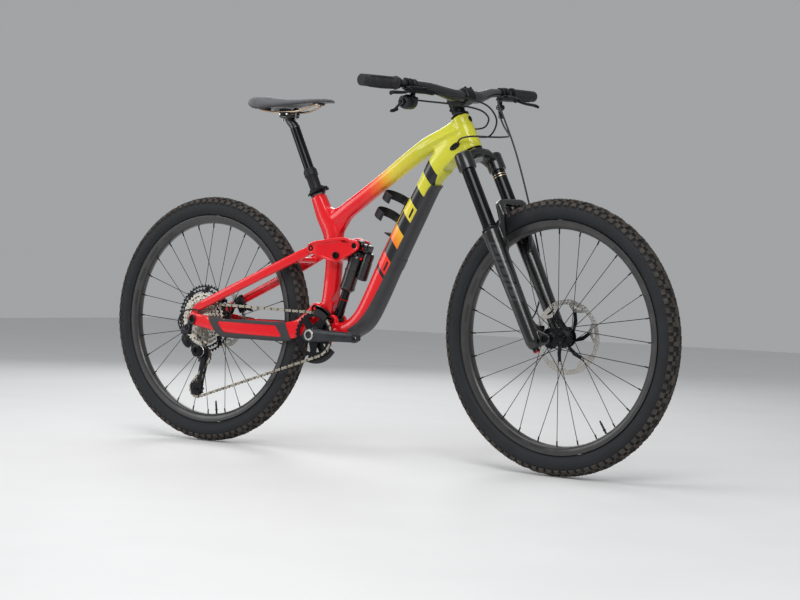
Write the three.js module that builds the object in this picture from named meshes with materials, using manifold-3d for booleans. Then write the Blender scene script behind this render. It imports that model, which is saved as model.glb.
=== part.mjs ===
// Full-suspension trail mountain bike, built as an assembly of separate sub-parts.
// Millimetres, +X forward, +Y to the rider's left, +Z up. The origin lies on the ground,
// midway between the two tyres' outer edges. The drivetrain is on the right, at -Y.
import * as THREE from "three";
import { mergeVertices } from "three/addons/utils/BufferGeometryUtils.js";
import Module from "manifold-3d";

const wasm = await Module();
wasm.setup();

// ---------------------------------------------------------------- driving dimensions
const GAP = 0.4; // clearance between touching pieces
const WHEEL_R = 374; // outer radius of a 29 x 2.6 in tyre
const TYRE_HALF = 33;
const RIM_R = 316;
const RIM_BED_R = 291;
const RIM_HALF = 17.5;
const WHEELBASE = 1225;
const CHAINSTAY_X = 437; // rear axle behind the bottom bracket
const BB_Z = 345;
const HEAD_ANGLE = 64.1; // degrees from the ground
const FORK_OFFSET = 44; // front axle ahead of the steering axis
const AXLE_TO_CROWN = 581;
const HEAD_TUBE = 105;
const STEER_REST = -4.8; // degrees: the bars stand turned slightly to the right
const REAR_HUB = 148; // over the locknuts
const FRONT_HUB = 110;
const CRANK = 170;
const PITCH = 12.7; // chain pitch
const PIVOT_R = 7; // of the two main pivots' axles
const RING_TEETH = 32;
const COG_TEETH = 24; // the sprocket that the chain lies on
const CHAIN_Y = -53;
const WHEEL_SEGMENTS = 32;

const rad = THREE.MathUtils.degToRad;
const ORIGIN_X = (WHEELBASE / 2) - CHAINSTAY_X; // the origin, measured from the bottom bracket
const PULLEY_TEETH = 13;
const REAR_ROTOR_R = 90;
const REAR_ROTOR_Y = 55;
const FRONT_ROTOR_R = 101.5;
const FRONT_ROTOR_Y = 42;
const toothR = (teeth) => (teeth * PITCH) / (2 * Math.PI);

// Pivots and axles in the mid-plane, as [x, z] with x measured from the bottom bracket.
const BB = [0, BB_Z];
const REAR_AXLE = [-CHAINSTAY_X, WHEEL_R];
const FRONT_AXLE = [WHEELBASE - CHAINSTAY_X, WHEEL_R];
const MAIN_PIVOT = [-6, 422];
const STAY_PIVOT = [-16, 597]; // seatstay to rocker
const ROCKER_PIVOT = [64, 578];
const SHOCK_TOP = [119, 607];
const SHOCK_LOW = [44, 389];
const SHOCK_DIR = new THREE.Vector2(...SHOCK_TOP)
  .sub(new THREE.Vector2(...SHOCK_LOW))
  .normalize();
const SEAT_AT = [-45, 764]; // centre of the seat collar
const SEAT_DIR = [-0.4296, 0.903]; // up the seat post

// ---------------------------------------------------------------- solids
function merged(geometry) {
  const plain = new THREE.BufferGeometry();
  const source = geometry.index ? geometry.toNonIndexed() : geometry;
  plain.setAttribute("position", source.getAttribute("position").clone());
  return mergeVertices(plain, 1e-3);
}

function solid(geometry) {
  const g = merged(geometry);
  return new wasm.Manifold(
    new wasm.Mesh({
      numProp: 3,
      vertProperties: g.attributes.position.array,
      triVerts: new Uint32Array(g.index.array),
    }),
  );
}

function geometryOf(manifold) {
  const m = manifold.getMesh();
  const positions = new Float32Array(m.numVert * 3);
  for (let i = 0; i < m.numVert; i++) {
    positions.set(m.vertProperties.subarray(i * m.numProp, i * m.numProp + 3), i * 3);
  }
  const g = new THREE.BufferGeometry();
  g.setAttribute("position", new THREE.BufferAttribute(positions, 3));
  g.setIndex(new THREE.BufferAttribute(new Uint32Array(m.triVerts), 1));
  g.computeVertexNormals();
  return g;
}

const join = (...geometries) =>
  geometryOf(geometries.map(solid).reduce((a, b) => a.add(b)));
const cut = (geometry, ...tools) =>
  geometryOf(tools.map(solid).reduce((a, b) => a.subtract(b), solid(geometry)));
const common = (a, b) => geometryOf(solid(a).intersect(solid(b)));

// A closed body through rings of equal point counts, with flat ends.
function loft(rings) {
  const n = rings[0].length;
  const positions = [];
  const push = (a, b, c) => positions.push(...a.toArray(), ...b.toArray(), ...c.toArray());
  for (let i = 0; i + 1 < rings.length; i++) {
    for (let j = 0; j < n; j++) {
      const k = (j + 1) % n;
      push(rings[i][j], rings[i][k], rings[i + 1][k]);
      push(rings[i][j], rings[i + 1][k], rings[i + 1][j]);
    }
  }
  for (const [ring, order] of [[rings[0], -1], [rings.at(-1), 1]]) {
    for (let j = 1; j + 1 < n; j++) {
      if (order > 0) push(ring[0], ring[j], ring[j + 1]);
      else push(ring[0], ring[j + 1], ring[j]);
    }
  }
  const g = new THREE.BufferGeometry();
  g.setAttribute("position", new THREE.Float32BufferAttribute(positions, 3));
  return solid(g).volume() < 0 ? flipped(g) : g;
}

function flipped(geometry) {
  const p = geometry.getAttribute("position").array;
  for (let i = 0; i < p.length; i += 9) {
    for (let k = 0; k < 3; k++) {
      [p[i + 3 + k], p[i + 6 + k]] = [p[i + 6 + k], p[i + 3 + k]];
    }
  }
  return geometry;
}

// A tube in the fore-aft plane through stations { x, z, y, h, w }: h is half its depth in that
// plane, w half its width across it, and square rounds its section from 0.5 (box) to 1 (ellipse).
function tube(stations, { sides = 8, square = 0.8 } = {}) {
  const rings = stations.map((s, i) => {
    const before = stations[Math.max(0, i - 1)];
    const after = stations[Math.min(stations.length - 1, i + 1)];
    const t = new THREE.Vector2(after.x - before.x, after.z - before.z).normalize();
    const ring = [];
    for (let k = 0; k < sides; k++) {
      const a = ((k + 0.5) * 2 * Math.PI) / sides;
      const c = Math.sign(Math.cos(a)) * Math.abs(Math.cos(a)) ** square;
      const q = Math.sign(Math.sin(a)) * Math.abs(Math.sin(a)) ** square;
      ring.push(
        new THREE.Vector3(s.x - t.y * s.h * c, (s.y ?? 0) + s.w * q, s.z + t.x * s.h * c),
      );
    }
    return ring;
  });
  return loft(rings);
}

// A round bar from a to b, both [x, y, z]; it tapers to r2 where that is given.
function rod(a, b, r, sides = 10, r2 = r) {
  const from = new THREE.Vector3(...a);
  const to = new THREE.Vector3(...b);
  const along = to.clone().sub(from);
  const g = new THREE.CylinderGeometry(r2, r, along.length(), sides, 1);
  g.applyQuaternion(
    new THREE.Quaternion().setFromUnitVectors(new THREE.Vector3(0, 1, 0), along.normalize()),
  );
  return g.translate(...from.add(to).multiplyScalar(0.5).toArray());
}

// A round column up the Z axis at [x, y], through steps of [z, radius].
const column = ([x, y], steps, sides = 12) => loft(steps.map(([z, r]) =>
  Array.from({ length: sides }, (_, k) => {
    const a = (k * 2 * Math.PI) / sides;
    return new THREE.Vector3(x + r * Math.cos(a), y + r * Math.sin(a), z);
  }),
));

// A round bar across the bike at [x, z], from y0 to y1.
const pin = ([x, z], y0, y1, r, sides = 10) => rod([x, y0, z], [x, y1, z], r, sides);

// An outline in the fore-aft plane, a THREE.Shape in (x, z), given thickness from y0 to y1.
function plate(shape, y0, y1, curveSegments = 4) {
  const g = new THREE.ExtrudeGeometry(shape, {
    depth: Math.abs(y1 - y0),
    bevelEnabled: false,
    curveSegments,
  });
  return g.rotateX(Math.PI / 2).translate(0, Math.max(y0, y1), 0);
}

function box(x0, x1, y0, y1, z0, z1) {
  return new THREE.BoxGeometry(x1 - x0, y1 - y0, z1 - z0).translate(
    (x0 + x1) / 2,
    (y0 + y1) / 2,
    (z0 + z1) / 2,
  );
}

// The outline that wraps discs { at: [x, z], r }, as a convex hull of their rims.
function wrapped(discs, steps = 8) {
  const points = [];
  for (const { at, r } of discs) {
    for (let i = 0; i < steps; i++) {
      const a = (i * 2 * Math.PI) / steps;
      points.push(new THREE.Vector2(at[0] + r * Math.cos(a), at[1] + r * Math.sin(a)));
    }
  }
  points.sort((a, b) => a.x - b.x || a.y - b.y);
  const turn = (o, a, b) => (a.x - o.x) * (b.y - o.y) - (a.y - o.y) * (b.x - o.x);
  const half = (list) => {
    const hull = [];
    for (const p of list) {
      while (hull.length > 1 && turn(hull.at(-2), hull.at(-1), p) <= 1e-9) hull.pop();
      hull.push(p);
    }
    hull.pop();
    return hull;
  };
  return new THREE.Shape([...half(points), ...half(points.reverse())]);
}

const outline = (points) => new THREE.Shape(points.map((p) => new THREE.Vector2(...p)));

// A body turned about the Y axis from a closed profile of [radius, y].
function turned(profile, segments = 32, at = [0, 0]) {
  const closed = [...profile, profile[0]].map((p) => new THREE.Vector2(...p));
  const g = new THREE.LatheGeometry(closed, segments);
  const fixed = solid(g).volume() < 0 ? flipped(g.toNonIndexed()) : g;
  return fixed.translate(at[0], 0, at[1]);
}

// A round hose through points [x, y, z].
function hose(points, r, steps, sides = 6) {
  const path = new THREE.CatmullRomCurve3(points.map((p) => new THREE.Vector3(...p)));
  const section = new THREE.Shape();
  for (let i = 0; i < sides; i++) {
    const a = (i * 2 * Math.PI) / sides;
    section[i ? "lineTo" : "moveTo"](r * Math.cos(a), r * Math.sin(a));
  }
  return new THREE.ExtrudeGeometry(section, { steps, bevelEnabled: false, extrudePath: path });
}

// ---------------------------------------------------------------- materials and nodes
const finish = (color, roughness, metalness) =>
  new THREE.MeshStandardMaterial({ color, roughness, metalness });
const FINISH = {
  paint: finish(0xe01828, 0.3, 0.1),
  rubber: finish(0x16161a, 0.85, 0),
  carbon: finish(0x202124, 0.55, 0.1),
  black: finish(0x141517, 0.4, 0.5),
  grey: finish(0x3a3b3e, 0.5, 0.6),
  steel: finish(0xc4c4c0, 0.3, 0.9),
  chain: finish(0xb8b4a8, 0.35, 0.9),
  saddle: finish(0x3c3c40, 0.7, 0),
};

const bike = new THREE.Group();
bike.position.x = -ORIGIN_X;

// The steered frame: its origin is on the steering axis level with the front axle, its Z runs up
// the steering axis and its X points forward.
const lean = rad(90 - HEAD_ANGLE);
const steerTilt = new THREE.Group();
steerTilt.position.set(
  FRONT_AXLE[0] - FORK_OFFSET * Math.cos(lean),
  0,
  FRONT_AXLE[1] - FORK_OFFSET * Math.sin(lean),
);
steerTilt.rotation.y = -lean;
const steered = new THREE.Group();
steered.rotation.z = rad(STEER_REST);
steerTilt.add(steered);
bike.add(steerTilt);

function node(name, geometry, material, parent = bike) {
  const mesh = new THREE.Mesh(geometry, material);
  mesh.name = name;
  parent.add(mesh);
  return mesh;
}

const seatPoint = (t, y = 0, out = 0) => [
  SEAT_AT[0] + t * SEAT_DIR[0] + out * SEAT_DIR[1],
  y,
  SEAT_AT[1] + t * SEAT_DIR[1] - out * SEAT_DIR[0],
];

// A point of the steered frame, given back in the bike's own frame at the rest steering angle.
function steeredPoint(x, y, z) {
  steerTilt.updateMatrix();
  steered.updateMatrix();
  return new THREE.Vector3(x, y, z)
    .applyMatrix4(steered.matrix)
    .applyMatrix4(steerTilt.matrix)
    .toArray();
}

// A point of the unsteered head tube axis frame.
function headPoint(x, y, z) {
  steerTilt.updateMatrix();
  return new THREE.Vector3(x, y, z).applyMatrix4(steerTilt.matrix).toArray();
}

const HEAD_LOW = AXLE_TO_CROWN + 2; // lower end of the head tube, along the steering axis
const HEAD_TOP = HEAD_LOW + HEAD_TUBE;
const STEERER_R = 14.3;
const BAR_AT = [40, 730]; // handlebar centre in the steered frame, as [x, z]

// ---------------------------------------------------------------- main frame
const DOWN_TUBE = [
  { x: 492, z: 918, h: 30, w: 24 },
  { x: 440, z: 885, h: 40, w: 30 },
  { x: 388, z: 838, h: 36, w: 31 },
  { x: 347, z: 778, h: 27, w: 31 },
  { x: 271, z: 628, h: 30, w: 31 },
  { x: 183, z: 445, h: 28, w: 32 },
  { x: 148, z: 402, h: 28, w: 33 },
  { x: 92, z: 370, h: 27, w: 33 },
  { x: 0, z: 345, h: 26, w: 33 },
];
const TOP_TUBE = [
  { x: 2, z: 668, h: 18, w: 18 },
  { x: 50, z: 696, h: 24, w: 19 },
  { x: 189, z: 789, h: 22, w: 21 },
  { x: 340, z: 891, h: 26, w: 24 },
  { x: 405, z: 927, h: 36, w: 26 },
  { x: 470, z: 950, h: 40, w: 22 },
];
function mainFrame() {
  const seatTube = tube([
    { x: -39, z: 751, h: 21.5, w: 21.5 },
    { x: -12, z: 695, h: 27, w: 22 },
    { x: 20, z: 640, h: 31, w: 23 },
    { x: 27, z: 575, h: 25, w: 24 },
    { x: 23, z: 500, h: 24, w: 24 },
    { x: 16, z: 430, h: 24, w: 27 },
    { x: 2, z: 350, h: 26, w: 30 },
  ], { square: 0.85 });
  const headTube = rod(
    headPoint(0, 0, HEAD_LOW), headPoint(0, 0, HEAD_TOP), 28, 24, 26,
  );
  const shell = join(
    pin(BB, -36.5, 36.5, 27, 16),
    pin(MAIN_PIVOT, -29, 29, 16),
    pin(ROCKER_PIVOT, -29, 29, 16),
    tube([
      { x: 34, z: 568, h: 18, w: 22 },
      { x: 62, z: 578, h: 15, w: 26 },
    ]),
    tube([
      { x: 16, z: 400, h: 16, w: 26 },
      { x: -6, z: 420, h: 15, w: 26 },
    ]),
    pin(SHOCK_LOW, -29, 29, 17),
  );
  const along = (t, h, w) => (
    { x: SHOCK_LOW[0] + SHOCK_DIR.x * t, z: SHOCK_LOW[1] + SHOCK_DIR.y * t, h, w }
  );
  return cut(
    join(tube(TOP_TUBE), tube(DOWN_TUBE), seatTube, headTube, shell),
    rod(headPoint(0, 0, HEAD_LOW - 5), headPoint(0, 0, HEAD_TOP + 5), 21, 16),
    rod(headPoint(0, 0, HEAD_TOP), headPoint(0, 0, HEAD_TOP + 60), 70, 12),
    rod(seatPoint(-172), seatPoint(30), 18, 12),
    pin(BB, -60, 60, 19.4, 12),
    pin(MAIN_PIVOT, -60, 60, 7.4, 10),
    pin(ROCKER_PIVOT, -60, 60, 7.4, 10),
    // the slot that the shock's lower end stands in, and the room round its can
    pin(SHOCK_LOW, -15.5, 15.5, 20, 12),
    tube([along(0, 20, 15.5), along(95, 22, 15.5)], { sides: 4, square: 0.01 }),
    tube([along(48, 29, 29), along(150, 27, 29)], { sides: 4, square: 0.01 }),
    pin(SHOCK_LOW, -60, 60, 5.4, 10),
    // the fork's crown sweeps round under the head tube, and its legs lower down
    rod(headPoint(0, 0, 400), headPoint(0, 0, HEAD_LOW - 0.5), 60, 20),
    rod(headPoint(0, 0, 400), headPoint(0, 0, 570), 100, 20),
  );
}
node("main_frame", mainFrame(), FINISH.paint);

function downTubeGuard() {
  const skin = (grow, w) => tube(DOWN_TUBE.slice(3, 8).map((s) => ({ ...s, h: s.h + grow, w })));
  const front = plate(outline([
    [356, 764], [286, 620], [238, 522], [197, 446], [160, 401], [118, 376], [128, 330], [260, 400],
    [400, 740],
  ]), -45, 45);
  const inner = tube(DOWN_TUBE.map((s) => ({ ...s, h: s.h + 0.6, w: s.w + 0.6 })));
  return common(cut(skin(4.5, 36), inner), front);
}
node("down_tube_guard", downTubeGuard(), FINISH.black);

// ---------------------------------------------------------------- bottle cage
function bottleCage() {
  // built with its base on the X axis, the bottle above it, then laid on the down tube
  const hoop = (x0, x1) => {
    const s = new THREE.Shape();
    s.absarc(0, 0, 40, rad(-115), rad(205), false);
    s.absarc(0, 0, 37.4, rad(205), rad(-115), true);
    return new THREE.ExtrudeGeometry(s, { depth: x1 - x0, bevelEnabled: false, curveSegments: 9 })
      .rotateY(Math.PI / 2)
      .translate(x0, 0, 42);
  };
  const base = box(-62, 62, -9, 9, 1, 5);
  const sweep = join(base, hoop(-20, -6), hoop(34, 46), box(-62, -58, -18, 18, 1, 22));
  sweep.rotateY(-Math.atan2(0.885, 0.465));
  return sweep.translate(261, 0, 690);
}
node("bottle_cage", bottleCage(), FINISH.black);

// ---------------------------------------------------------------- seat post and saddle
function seatCollar() {
  const ring = rod(seatPoint(-11), seatPoint(7), 25, 16);
  const ears = box(0, 16, -9, 9, -6, 6);
  ears.rotateY(-Math.atan2(SEAT_DIR[1], SEAT_DIR[0]) + Math.PI / 2);
  const at = seatPoint(-1, 0, 20);
  return cut(join(ring, ears.translate(...at)), rod(seatPoint(-15), seatPoint(12), 18.1, 12),
    rod(seatPoint(-15), seatPoint(-10.6), 27, 16));
}
node("seat_collar", seatCollar(), FINISH.black);

node("dropper_outer_tube", cut(
  join(rod(seatPoint(-168), seatPoint(60), 17.45, 12), rod(seatPoint(50), seatPoint(72), 20, 12)),
  rod(seatPoint(-175), seatPoint(75), 15.3, 12),
), FINISH.black);

const RAIL_Z = 1000;
const CLAMP_X = -158;
node("dropper_stanchion", join(
  rod(seatPoint(-8), seatPoint(222), 14.9, 12),
  rod(seatPoint(205), [CLAMP_X, 0, RAIL_Z - 12], 12, 12),
  box(CLAMP_X - 22, CLAMP_X + 22, -30, 30, RAIL_Z - 16, RAIL_Z - 5),
), FINISH.black);

// One wire: back along the left, round the nose and back along the right.
function saddleRails() {
  const side = (y) => [
    [-243, y * 1.75, 1008], [-226, y * 1.6, 1004], [-200, y * 1.1, RAIL_Z], [-120, y, RAIL_Z],
    [-92, y, 1004], [-52, y * 0.75, 1017],
  ];
  const left = side(22);
  const right = side(-22).reverse();
  return hose([...left, [-40, 8, 1019.5], [-40, -8, 1019.5], ...right], 3.5, 26, 6);
}
node("saddle_rails", saddleRails(), FINISH.steel);

const SADDLE_DROOP = 20; // how far the saddle's wings hang below its middle
function saddle() {
  // [x, half width, underside z, top z]
  const stations = [
    [-301, 12, 1032, 1041], [-292, 30, 1026, 1046], [-272, 50, 1020, 1048.5],
    [-245, 66, 1016, 1048], [-215, 70, 1015, 1045], [-190, 60, 1016, 1041],
    [-150, 42, 1018, 1037.5], [-105, 29, 1021, 1036.5], [-60, 23, 1024, 1037],
    [-25, 21, 1024, 1036.5], [-6, 17, 1024, 1034], [2, 9, 1025, 1031],
  ];
  const rings = stations.map(([x, w, low, top]) => {
    const mid = (low + top) / 2;
    const ring = [];
    for (let k = 0; k < 12; k++) {
      const a = ((k + 0.5) * 2 * Math.PI) / 12;
      const droop = -SADDLE_DROOP * Math.cos(a) ** 2 * (w / 70) ** 1.6;
      ring.push(new THREE.Vector3(
        x,
        w * Math.sign(Math.cos(a)) * Math.abs(Math.cos(a)) ** 0.6,
        mid + ((top - low) / 2) * Math.sign(Math.sin(a)) * Math.abs(Math.sin(a)) ** 0.7 + droop,
      ));
    }
    return ring;
  });
  return loft(rings);
}
node("saddle", saddle(), FINISH.saddle);

// ---------------------------------------------------------------- cranks
const SPINDLE_R = 14.7;
node("bottom_bracket", cut(
  join(pin(BB, -44, -36.9, 22, 16), pin(BB, 36.9, 44, 22, 16), pin(BB, -40, 40, 19, 12)),
  pin(BB, -60, 60, SPINDLE_R + 1, 16),
), FINISH.black);

// The arms lean outward to clear the chainstays.
function crankArm(direction, side) {
  const at = (x, y, h, w) => ({ x: BB[0] + direction * x, z: BB[1], y: side * y, h, w });
  const arm = tube([
    at(-22, 71, 10, 6), at(-12, 71, 19, 8), at(12, 71, 21, 8), at(60, 73, 17, 7.5),
    at(150, 79.5, 15, 7), at(CRANK, 79.5, 15, 7), at(CRANK + 14, 79.5, 8, 5),
  ], { square: 0.6 });
  return cut(arm, pin([BB[0] + direction * CRANK, BB[1]], -120, 120, 7));
}
node("crank_arm_right", cut(
  join(crankArm(1, -1), pin(BB, -74, 62, SPINDLE_R, 16)), pin(BB, -90, 90, 11, 12),
), FINISH.grey);
node("crank_arm_left", cut(crankArm(-1, 1), pin(BB, 0, 62.6, 16), pin(BB, 50, 90, 9)), FINISH.grey);

// The ring stops at the chain's inner side: its teeth stand inside the chain's own thickness.
function chainring() {
  const r = toothR(RING_TEETH) - 4.8;
  const disc = new THREE.Shape();
  disc.absarc(...BB, r, 0, 2 * Math.PI, false);
  for (let i = 0; i < 5; i++) {
    const a = rad(18 + i * 72);
    const hole = new THREE.Path();
    hole.absarc(BB[0] + 40 * Math.cos(a), BB[1] + 40 * Math.sin(a), 12, 0, 2 * Math.PI, true);
    disc.holes.push(hole);
  }
  const hub = pin(BB, CHAIN_Y - 5, CHAIN_Y + 4, 21, 12);
  return cut(
    join(plate(disc, CHAIN_Y - 1, CHAIN_Y + 1, 5), hub), pin(BB, -90, 0, SPINDLE_R + 1, 16),
  );
}
node("chainring", chainring(), FINISH.black);

function chainGuide() {
  const back = plate(wrapped([
    { at: BB, r: 30 }, { at: [38, 400], r: 10 },
  ], 12), -43.5, -40.5);
  const sector = (r0, r1, from, to) => {
    const shape = new THREE.Shape();
    shape.absarc(...BB, r1, rad(from), rad(to), false);
    shape.absarc(...BB, r0, rad(to), rad(from), true);
    return shape;
  };
  const strut = plate(wrapped([{ at: [12, 322], r: 12 }, { at: [34, 283], r: 10 }]), -43.5, -40.5);
  return cut(
    join(
      back,
      strut,
      plate(sector(68, 80, -105, -28), -47, -40.5),
      plate(sector(56, 86, 50, 76), -47.5, -43),
      plate(sector(56, 86, 50, 76), -62, -59),
      plate(sector(75, 86, 50, 76), -62, -43),
    ),
    pin(BB, -70, 0, 23, 16),
  );
}
node("chain_guide", chainGuide(), FINISH.black);

// ---------------------------------------------------------------- rear triangle
// The main pivot's axle turns with the chainstays, and the rocker's axle with the rocker.

function swingarm() {
  const side = (s) => [
    tube([
      { x: -445, z: 374, y: s * 83, h: 19, w: 3.4 },
      { x: -410, z: 370, y: s * 82.6, h: 19, w: 3.4 },
      { x: -385, z: 365, y: s * 80, h: 19, w: 5 },
      { x: -330, z: 358, y: s * 77, h: 21, w: 8 },
      { x: -227, z: 352, y: s * 69, h: 25, w: 9 },
      { x: -150, z: 350, y: s * 59, h: 26, w: 8 },
      { x: -105, z: 352, y: s * 46.5, h: 26, w: 5.5 },
      { x: -66, z: 364, y: s * 39.5, h: 25, w: 5.5 },
      { x: -36, z: 390, y: s * 38, h: 21, w: 6 },
      { x: -4, z: 424, y: s * 38, h: 18, w: 7 },
    ], { sides: 6 }),
    pin(MAIN_PIVOT, s * 30, s * 45, 17),
    pin(REAR_AXLE, s * 79.6, s * 86.4, 20, 12),
  ];
  const bridge = pin([-36, 400], -38, 38, 8, 10);
  const arm = cut(
    join(...side(1), ...side(-1), bridge),
    pin(REAR_AXLE, -100, 100, 6.6, 10),
    // the boss of the frame between the two ears
    pin(MAIN_PIVOT, -29.6, 29.6, 18.5, 12),
  );
  return join(arm, pin(MAIN_PIVOT, -46, 46, PIVOT_R, 10));
}
node("chainstay", swingarm(), FINISH.paint);
node("rear_axle", join(
  pin(REAR_AXLE, -92, 92, 6, 10), pin(REAR_AXLE, 87, 92, 10, 10), pin(REAR_AXLE, -92, -87, 10, 10),
), FINISH.black);

const STAY_BRIDGE = [-83, 562];
function seatstay() {
  const side = (s) => [
    tube([
      { x: -437, z: 370, y: s * 76.9, h: 13, w: 2.3 },
      { x: -440, z: 388, y: s * 76.9, h: 14, w: 2.3 },
      { x: -434, z: 404, y: s * 73.4, h: 13, w: 5.6 },
      { x: -395, z: 424, y: s * 74.5, h: 13, w: 8 },
      { x: -195, z: 514, y: s * 64, h: 14, w: 8 },
      { x: -75, z: 570, y: s * 50, h: 14, w: 8 },
      { x: -30, z: 591, y: s * 45.2, h: 13, w: 4.6 },
      { x: -16, z: 597, y: s * 45.2, h: 13, w: 4.6 },
    ], { sides: 6 }),
    pin(REAR_AXLE, s * 74.5, s * 79.2, 15, 12),
    pin(STAY_PIVOT, s * 40.6, s * 49.8, 14, 12),
  ];
  return cut(
    join(...side(1), ...side(-1), pin(STAY_BRIDGE, -50, 50, 8, 10)),
    pin(REAR_AXLE, -100, 100, 6.6, 10),
    pin(STAY_PIVOT, -100, 100, 5, 10),
  );
}
node("seatstay", seatstay(), FINISH.paint);

function rockerLink() {
  const side = wrapped([
    { at: STAY_PIVOT, r: 16 }, { at: ROCKER_PIVOT, r: 18 }, { at: SHOCK_TOP, r: 16 },
    { at: [60, 606], r: 14 },
  ]);
  const plan = (s) => {
    const shape = outline([
      [-40, s * 50.3], [2, s * 50.3], [16, s * 46], [40, s * 34], [64, s * 30],
      [100, s * 28.6], [140, s * 28.6], [140, s * 37.5], [100, s * 40], [64, s * 43.5],
      [36, s * 50], [6, s * 60], [-40, s * 60],
    ]);
    return new THREE.ExtrudeGeometry(shape, { depth: 120, bevelEnabled: false })
      .translate(0, 0, 540);
  };
  const arm = (s) => common(plate(side, -70, 70), plan(s));
  const link = cut(
    join(arm(1), arm(-1), pin([74, 617], -34, 34, 7, 10)),
    pin(STAY_PIVOT, -80, 80, 5, 10),
    pin(ROCKER_PIVOT, -29.5, 29.5, 17.5, 12),
  );
  return join(
    link,
    pin(SHOCK_TOP, -41, 41, 5, 10),
    pin(ROCKER_PIVOT, -48, 48, PIVOT_R, 10),
    pin(ROCKER_PIVOT, -49, -46.6, 10),
    pin(ROCKER_PIVOT, 46.6, 49, 10),
  );
}
node("rocker_link", rockerLink(), FINISH.paint);

// ---------------------------------------------------------------- shock
const shockPoint = (t, out = 0, y = 0) => [
  SHOCK_LOW[0] + SHOCK_DIR.x * t + SHOCK_DIR.y * out,
  y,
  SHOCK_LOW[1] + SHOCK_DIR.y * t - SHOCK_DIR.x * out,
];
node("shock_body", cut(
  join(
    rod(shockPoint(96), shockPoint(206), 23, 12),
    rod(shockPoint(92.5), shockPoint(98), 17.5, 20, 23),
    pin(SHOCK_TOP, -13, 13, 16, 12),
    rod(shockPoint(200), shockPoint(218), 17, 12),
    rod(shockPoint(140, 39), shockPoint(222, 39), 15.5, 12),
    rod(shockPoint(208, 0), shockPoint(208, 39), 9),
  ),
  pin(SHOCK_TOP, -30, 30, 11, 10),
  rod(shockPoint(60), shockPoint(175), 13.4, 12),
), FINISH.black);
node("shock_shaft", cut(
  join(
    rod(shockPoint(12), shockPoint(112), 13, 12),
    pin(SHOCK_LOW, -14.5, 14.5, 14, 12),
    rod(shockPoint(14), shockPoint(34), 14.3, 12),
  ),
  pin(SHOCK_LOW, -30, 30, 5.4, 10),
), FINISH.grey);

// ---------------------------------------------------------------- wheels
function tyre(at) {
  const h = TYRE_HALF;
  const profile = [
    [RIM_R + GAP, -14], [335, -29], [350, -h], [366, -25], [WHEEL_R, -6], [WHEEL_R, 6],
    [366, 25], [350, h], [335, 29], [RIM_R + GAP, 14], [344, 18], [352, 0], [344, -18],
  ];
  return turned(profile, WHEEL_SEGMENTS, at);
}

function rim(at) {
  return turned([
    [RIM_BED_R, -9], [RIM_BED_R, 9], [300, RIM_HALF - 2], [RIM_R, RIM_HALF], [RIM_R, 14],
    [308, 0], [RIM_R, -14], [RIM_R, -RIM_HALF], [300, 2 - RIM_HALF],
  ], WHEEL_SEGMENTS, at);
}

// A hub's core, and the sleeve on it that carries the flanges and their spokes: fourteen to each
// flange, laced three-cross.
const HUB_WALL = 5;
const SPOKES = 28;
const SPOKE_SWING = rad(68); // round the hub from the spoke's end at the rim to its end there
const hubCore = (at, { left, right, bore }) => turned([
  [bore, right], [bore + HUB_WALL, right], [bore + HUB_WALL, left], [bore, left],
], 16, at);

function spokedFlanges(at, { flangeLeft, flangeRight, flangeR, bore }) {
  const core = bore + HUB_WALL + GAP;
  const sleeve = 15;
  const rimOfFlange = flangeR + 3;
  const shell = turned([
    [core, flangeRight - 4], [sleeve, flangeRight - 4], [rimOfFlange, flangeRight - 2],
    [rimOfFlange, flangeRight + 2], [sleeve, flangeRight + 5], [sleeve, flangeLeft - 5],
    [rimOfFlange, flangeLeft - 2], [rimOfFlange, flangeLeft + 2], [sleeve, flangeLeft + 6],
    [core, flangeLeft + 6],
  ], 16);
  const spokes = [];
  for (let i = 0; i < SPOKES; i++) {
    const left = i % 2 === 0;
    const trailing = Math.floor(i / 2) % 2 === 1;
    const rimAngle = (i * 2 * Math.PI) / SPOKES;
    const hubAngle = rimAngle + (trailing ? SPOKE_SWING : -SPOKE_SWING);
    const y = (left ? flangeLeft : flangeRight) + (trailing ? 1.4 : -1.4);
    spokes.push(rod(
      [flangeR * Math.cos(hubAngle), y, flangeR * Math.sin(hubAngle)],
      [(RIM_BED_R - 2) * Math.cos(rimAngle), left ? 2 : -2, (RIM_BED_R - 2) * Math.sin(rimAngle)],
      1.2,
      3,
    ));
  }
  return join(shell, ...spokes).translate(at[0], 0, at[1]);
}

function rotor(at, r, y, inner) {
  const disc = new THREE.Shape();
  disc.absarc(0, 0, r, 0, 2 * Math.PI, false);
  const hole = new THREE.Path();
  hole.absarc(0, 0, r - 15, 0, 2 * Math.PI, true);
  disc.holes.push(hole);
  const arms = [];
  for (let i = 0; i < 6; i++) {
    const a = rad(i * 60 + 10);
    const b = a + rad(24);
    arms.push(plate(outline([
      [inner * Math.cos(a - 0.16), inner * Math.sin(a - 0.16)],
      [(r - 10) * Math.cos(b - 0.06), (r - 10) * Math.sin(b - 0.06)],
      [(r - 10) * Math.cos(b + 0.08), (r - 10) * Math.sin(b + 0.08)],
      [inner * Math.cos(a + 0.16), inner * Math.sin(a + 0.16)],
    ]), y - 0.9, y + 0.9));
  }
  const carrier = turned([
    [inner - 8, y - 1.4], [inner + 3, y - 1.4], [inner + 3, y + 1.4], [inner - 8, y + 1.4],
  ], 10);
  return join(plate(disc, y - 0.9, y + 0.9, 14), carrier, ...arms).translate(at[0], 0, at[1]);
}

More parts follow.
